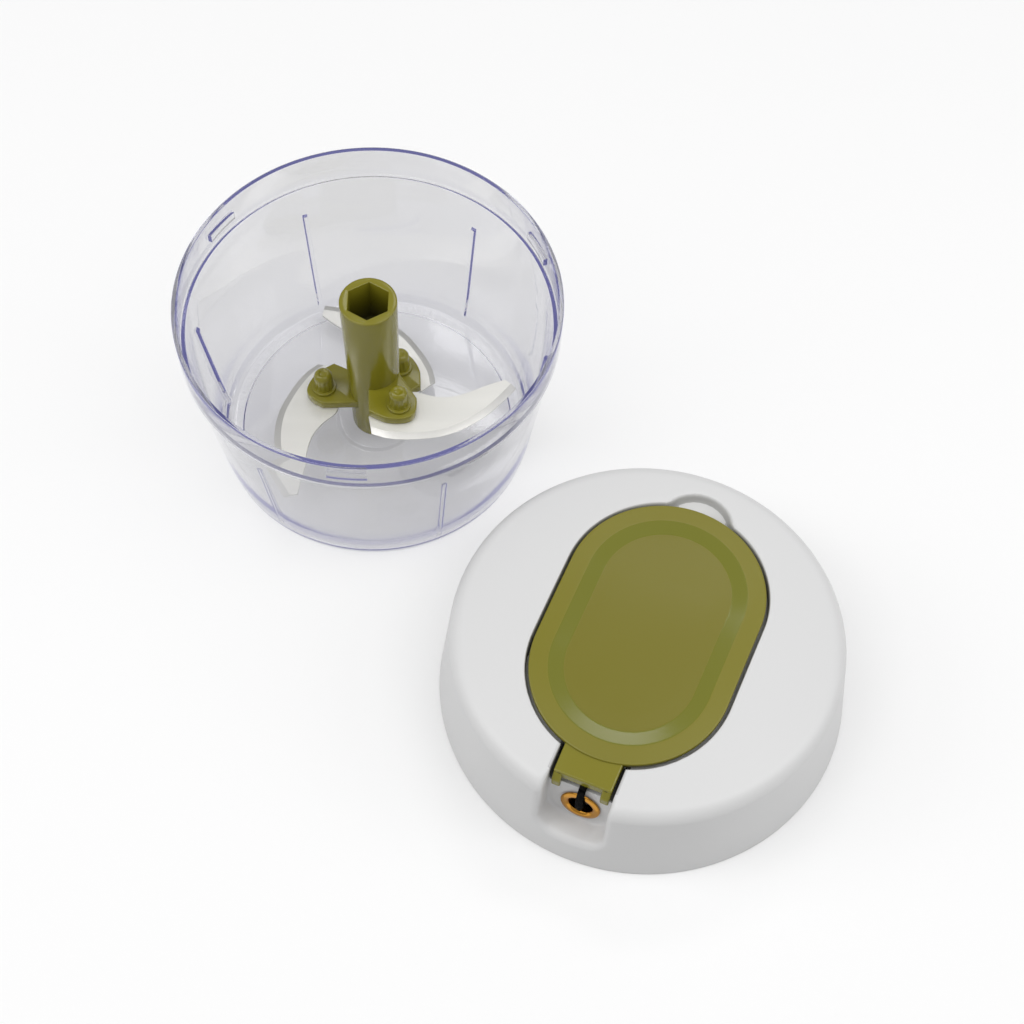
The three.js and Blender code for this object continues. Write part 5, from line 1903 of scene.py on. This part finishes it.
@dataclass
class Handle:
    """The oval pull handle with its dished top, its skirt and the tab that holds the cord."""

    cap: Cap = field(default_factory=Cap)
    half_straight: float = 14.0
    radius: float = 30.3
    proud: float = 0.4
    edge: float = 0.6
    draft: float = 1.2
    band: float = 5.7
    slope: float = 4.7
    dish: float = 1.0
    foot: float = 31.6
    skirt_wall: float = 1.8
    ceiling: float = 34.2
    tab_start: float = 41.4
    tab_reach: float = 51.8
    tab_half: float = 9.0
    tab_drop: float = 0.2
    tab_foot: float = 31.4
    tab_wall: float = 1.8
    tab_ceiling: float = 33.8
    prong_width: float = 2.8
    prong_reach: float = 53.6
    prong_top: float = 31.5
    prong_foot: float = 28.6
    prong_toe: float = 1.5
    rib_reach: float = 46.0
    rib_thickness: float = 1.5
    slot_half: float = 1.45
    cord_aside: float = 0.4
    lap: float = 0.06
    hidden: float = 0.4  # how far the posts and the end wall run into the tab's walls
    foot_chamfer: float = 0.3
    mould_round: float = 0.5

    def outline(self, inset: Array, arc_steps: int = 72, straight_steps: int = 10) -> Array:
        """The stadium's outline moved in by each inset: half circles about two centres, and sides.

        Args:
            inset: How far each outline lies inside the stadium, one row for each.
            arc_steps: How many stretches a half circle has.
            straight_steps: How many stretches a side has.

        Returns:
            Rows by corners by 2.
        """
        arc = np.linspace(-math.pi / 2, math.pi / 2, arc_steps + 1)
        side = np.linspace(1.0, -1.0, straight_steps + 1)[1:-1]
        radius = self.radius - inset
        half = self.half_straight
        end = np.stack((half + radius * np.cos(arc), radius * np.sin(arc)), axis=-1)
        flank = np.stack(np.broadcast_arrays(half * side, radius), axis=-1)
        return np.concatenate((end, flank, -end, -flank), axis=1)

    def body(self) -> Shape:
        """The oval as one closed grid of nested outlines.

        On top the height is the dome's plus the profile's rise at that inset. The side, skirt and
        ceiling have heights of their own.

        Returns:
            The oval in the lid's frame.
        """
        top = soften([
            (self.radius, self.proud - self.dish),
            (self.radius / 2, self.proud - self.dish),
            (self.band + self.slope + 1.0, self.proud - self.dish),
            (self.band + self.slope, self.proud - self.dish),
            (self.band, self.proud),
            (0.0, self.proud),
            (0.0, self.proud - 2 * self.edge),
        ], 0.45, steps=6)
        flat = self.outline(top[:, :1])
        upper = at_heights(flat, self.cap.dome(flat[..., 0], flat[..., 1]) + top[:, 1:])
        skirt, chamfer, fillet = self.draft + self.skirt_wall, self.foot_chamfer, 0.4
        under = np.array([
            (self.draft, self.foot + chamfer), (self.draft + chamfer, self.foot),
            (skirt - chamfer, self.foot), (skirt, self.foot + chamfer),
            (skirt, self.ceiling - fillet), (skirt + fillet, self.ceiling), (self.radius, self.ceiling),
        ])
        return Shape.grid(np.concatenate((upper, at_heights(self.outline(under[:, :1]), under[:, 1:]))))

    def tab(self) -> Shape:
        """The tab: a channel-shaped section carried along, an end wall and two prongs.

        The section's top follows the dome at each place, so z = dome(u, n) less the drop.

        Returns:
            The tab in the lid's frame.
        """
        half, wall, lap = self.tab_half, self.tab_half - self.tab_wall, self.lap
        foot, ceiling = self.tab_foot, self.tab_ceiling
        across = np.linspace(half, -half, 9)
        under = np.array([
            (-half, foot), (-wall, foot), (-wall, ceiling), (wall, ceiling), (wall, foot), (half, foot),
        ])
        along = np.linspace(self.tab_start, self.tab_reach, 6)[:, None]
        top = self.cap.dome(along, across) - self.tab_drop
        height = np.concatenate((top, np.broadcast_to(under[:, 1], (len(along), len(under)))), axis=1)
        aside = np.concatenate((across, under[:, 0]))
        shape = Shape.grid(np.stack(np.broadcast_arrays(along, aside, height), axis=-1), caps=True)
        inner, front, wide = self.tab_reach - self.tab_wall, self.tab_reach - lap, wall + self.hidden
        outline = np.array([(inner, -wide), (front, -wide), (front, wide), (inner, wide)])
        shape = shape.plus(Shape.slab(outline, foot + lap, ceiling + self.hidden, 0.0, steps=1))
        reach, brow = self.prong_reach, ceiling + 0.3
        side = np.array([
            (inner, brow), (front, brow), (reach, self.prong_top),
            (reach, self.prong_foot), (reach - self.prong_toe, self.prong_foot), (inner, foot + lap),
        ])
        for low, high in ((half - self.prong_width, half - lap), (lap - half, self.prong_width - half)):
            rows = [np.insert(side, 1, n, axis=1) for n in (low, high)]
            shape = shape.plus(Shape.grid(np.stack(rows), caps=True))
        return shape

    def rib(self) -> Shape:
        """Two posts across the tab that hold the knot, one on each side of the cord's slot.

        Returns:
            The posts in the lid's frame.
        """
        wide = self.tab_half - self.tab_wall + self.hidden
        low, high = self.cord_aside - self.slot_half, self.cord_aside + self.slot_half
        near, far = self.rib_reach, self.rib_reach + self.rib_thickness
        shape = None
        for start, stop in ((-wide, low), (high, wide)):
            outline = np.array([(near, start), (far, start), (far, stop), (near, stop)])
            post = Shape.slab(outline[::-1], self.tab_foot, self.tab_ceiling + self.hidden, 0.0, steps=1)
            shape = post if shape is None else shape.plus(post)
        return shape

    def build(self, shop: Workshop, place: Matrix) -> None:
        """Makes the handle's body, with painted shade on its slope ring and dish, and its tab with the
        rounded edges that a mould gives.

        Args:
            shop: The workshop that makes the pieces.
            place: The lid's place, in millimetres.
        """
        body = self.body().moved(place)
        oval = shop.piece("handle_oval", body, "handle", SATIN, ["pull_handle"], sharp=50.0)
        shop.even(oval)
        # The slope ring and the dish get darker olive: painted shade on the handle's top.
        u, n, z = face_places(oval, place)
        inset = -stadium(u, n, self.half_straight, self.radius)
        top, inner = z > self.ceiling + 1.0, inset > self.band + self.slope
        shop.add_finish(oval, SHADED_SLOPE, top & (inset > self.band) & ~inner)
        shop.add_finish(oval, SHADED_DISH, top & inner)
        tab = shop.piece("handle_tab", self.tab().plus(self.rib()).moved(place), "handle", OLIVE, sharp=30.0)
        bevel = tab.modifiers.new("rounded_edges", "BEVEL")
        bevel.width = self.mould_round * MM
        bevel.segments = 3
        bevel.limit_method = "ANGLE"
        bevel.angle_limit = math.radians(35)
        bevel.harden_normals = True


@dataclass(frozen=True)
class Lamp:
    """One soft rectangular lamp that looks at a point. Its lengths are in metres."""

    name: str
    place: tuple[float, float, float]
    size: tuple[float, float]
    power: float
    aim: tuple[float, float, float] = (0.05, -0.05, 0.03)

    def build(self) -> None:
        """Adds the lamp to the scene."""
        data = bpy.data.lights.new(self.name, "AREA")
        data.shape = "RECTANGLE"
        data.size, data.size_y = self.size
        data.energy = self.power
        item = linked(self.name, data)
        away = Vector(self.place) - Vector(self.aim)
        item.location = self.place
        item.rotation_euler = away.to_track_quat("Z", "Y").to_euler()


LAMPS = (
    Lamp("back_strip", (0.264, 0.803, 1.211), (0.61, 0.17), 1.15, aim=(0.07, -0.11, 0.037)),
    Lamp("top_left_softbox", (-0.5, -0.24, 1.3), (0.8, 0.8), 5.1),
    Lamp("top_right_softbox", (0.6, -0.24, 1.3), (0.8, 0.8), 4.9),
    Lamp("left_softbox", (-1.15, -0.1, 0.8), (0.7, 0.7), 3.7),
    Lamp("right_softbox", (1.25, -0.1, 0.8), (0.7, 0.7), 3.3),
)


@dataclass
class Studio:
    """The floor, the sky and the camera at the photograph's angle. Its lengths are in metres."""

    focal_pixels: float = 2163.97
    sensor: float = 36.0  # millimetres
    in_focus: tuple[float, float] = (0.01, 50.0)
    elevation: float = 60.08
    roll: float = 1.28
    camera_place: tuple[float, float, float] = (0.04546, -0.38488, 0.61106)
    floor_size: float = 12.0
    floor_shade: float = 0.68
    floor_lift: float = 0.27
    seen_white: float = 0.973
    sky: float = 0.42
    mirrored_sky: float = 0.45

    def camera(self) -> None:
        """Places the camera: it looks along +Y and down, and rolls a little about its own axis."""
        data = bpy.data.cameras.new("camera")
        data.sensor_width = self.sensor
        data.lens = self.focal_pixels / IMAGE_WIDTH * self.sensor
        data.clip_start, data.clip_end = self.in_focus
        item = linked("camera", data)
        tilt, roll = math.radians(self.elevation), math.radians(self.roll)
        ahead = Vector((0.0, math.cos(tilt), -math.sin(tilt)))
        right = Vector((1.0, 0.0, 0.0))
        up = right.cross(ahead)
        turned_right = right * math.cos(roll) + up * math.sin(roll)
        turned_up = up * math.cos(roll) - right * math.sin(roll)
        axes = Matrix((turned_right, turned_up, -ahead)).transposed().to_4x4()
        item.matrix_world = Matrix.Translation(self.camera_place) @ axes
        bpy.context.scene.camera = item

    def floor(self) -> None:
        """A pale floor that renders near white and still takes the object's shadow."""
        half = self.floor_size / 2
        corners = [(-half, -half, 0.0), (half, -half, 0.0), (half, half, 0.0), (-half, half, 0.0)]
        mesh = bpy.data.meshes.new("floor")
        mesh.from_pydata(corners, [], [(0, 1, 2, 3)])
        material = bpy.data.materials.new("pale_floor")
        material.use_nodes = True
        graph = Graph(material.node_tree)
        tone = self.floor_shade
        matt = graph.add("BsdfDiffuse", {"Color": (tone, tone, tone, 1.0)}).outputs[0]
        both = graph.add("AddShader", {0: matt, 1: graph.emission(WHITE, self.floor_lift)}).outputs[0]
        path = graph.add("LightPath").outputs
        seen = graph.math("MAXIMUM", path["Is Camera Ray"], path["Is Glossy Ray"])
        seen = graph.math("MAXIMUM", seen, path["Is Transmission Ray"])
        graph.add("OutputMaterial", {"Surface": graph.either(seen, matt, both)})
        mesh.materials.append(material)
        linked("floor", mesh)

    def world(self) -> None:
        """An even white sky, seen at full white behind the object."""
        world = bpy.data.worlds.new("studio")
        world.use_nodes = True
        bpy.context.scene.world = world
        graph = Graph(world.node_tree)
        path = graph.add("LightPath").outputs
        shiny = graph.ramp(path["Is Glossy Ray"], (0.0, 1.0), (self.sky, self.mirrored_sky))
        light, seen = (
            graph.add("Background", {"Color": WHITE, "Strength": strength}).outputs[0]
            for strength in (shiny, self.seen_white)
        )
        graph.add("OutputWorld", {"Surface": graph.either(path["Is Camera Ray"], light, seen)})

    def build(self) -> None:
        """Makes the whole studio."""
        self.camera()
        self.floor()
        self.world()
        for lamp in LAMPS:
            lamp.build()
        bpy.context.scene.view_settings.view_transform = "Standard"
        LOG.info("studio: camera, floor, sky and %d lamps", len(LAMPS))


def main() -> None:
    """Builds the studio, the cords and every sub-assembly in order."""
    logging.basicConfig(level=logging.INFO, format="%(name)s: %(message)s")
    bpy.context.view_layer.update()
    shop = Workshop()
    Studio().build()
    place = lid_place()
    Cord().build(shop, place)
    Bowl().build(shop)
    Carrier().build(shop)
    Lid().build(shop, place)
    Handle().build(shop, place)
    LOG.info("%d new pieces", len(shop.made))


if __name__ == "__main__":
    main()
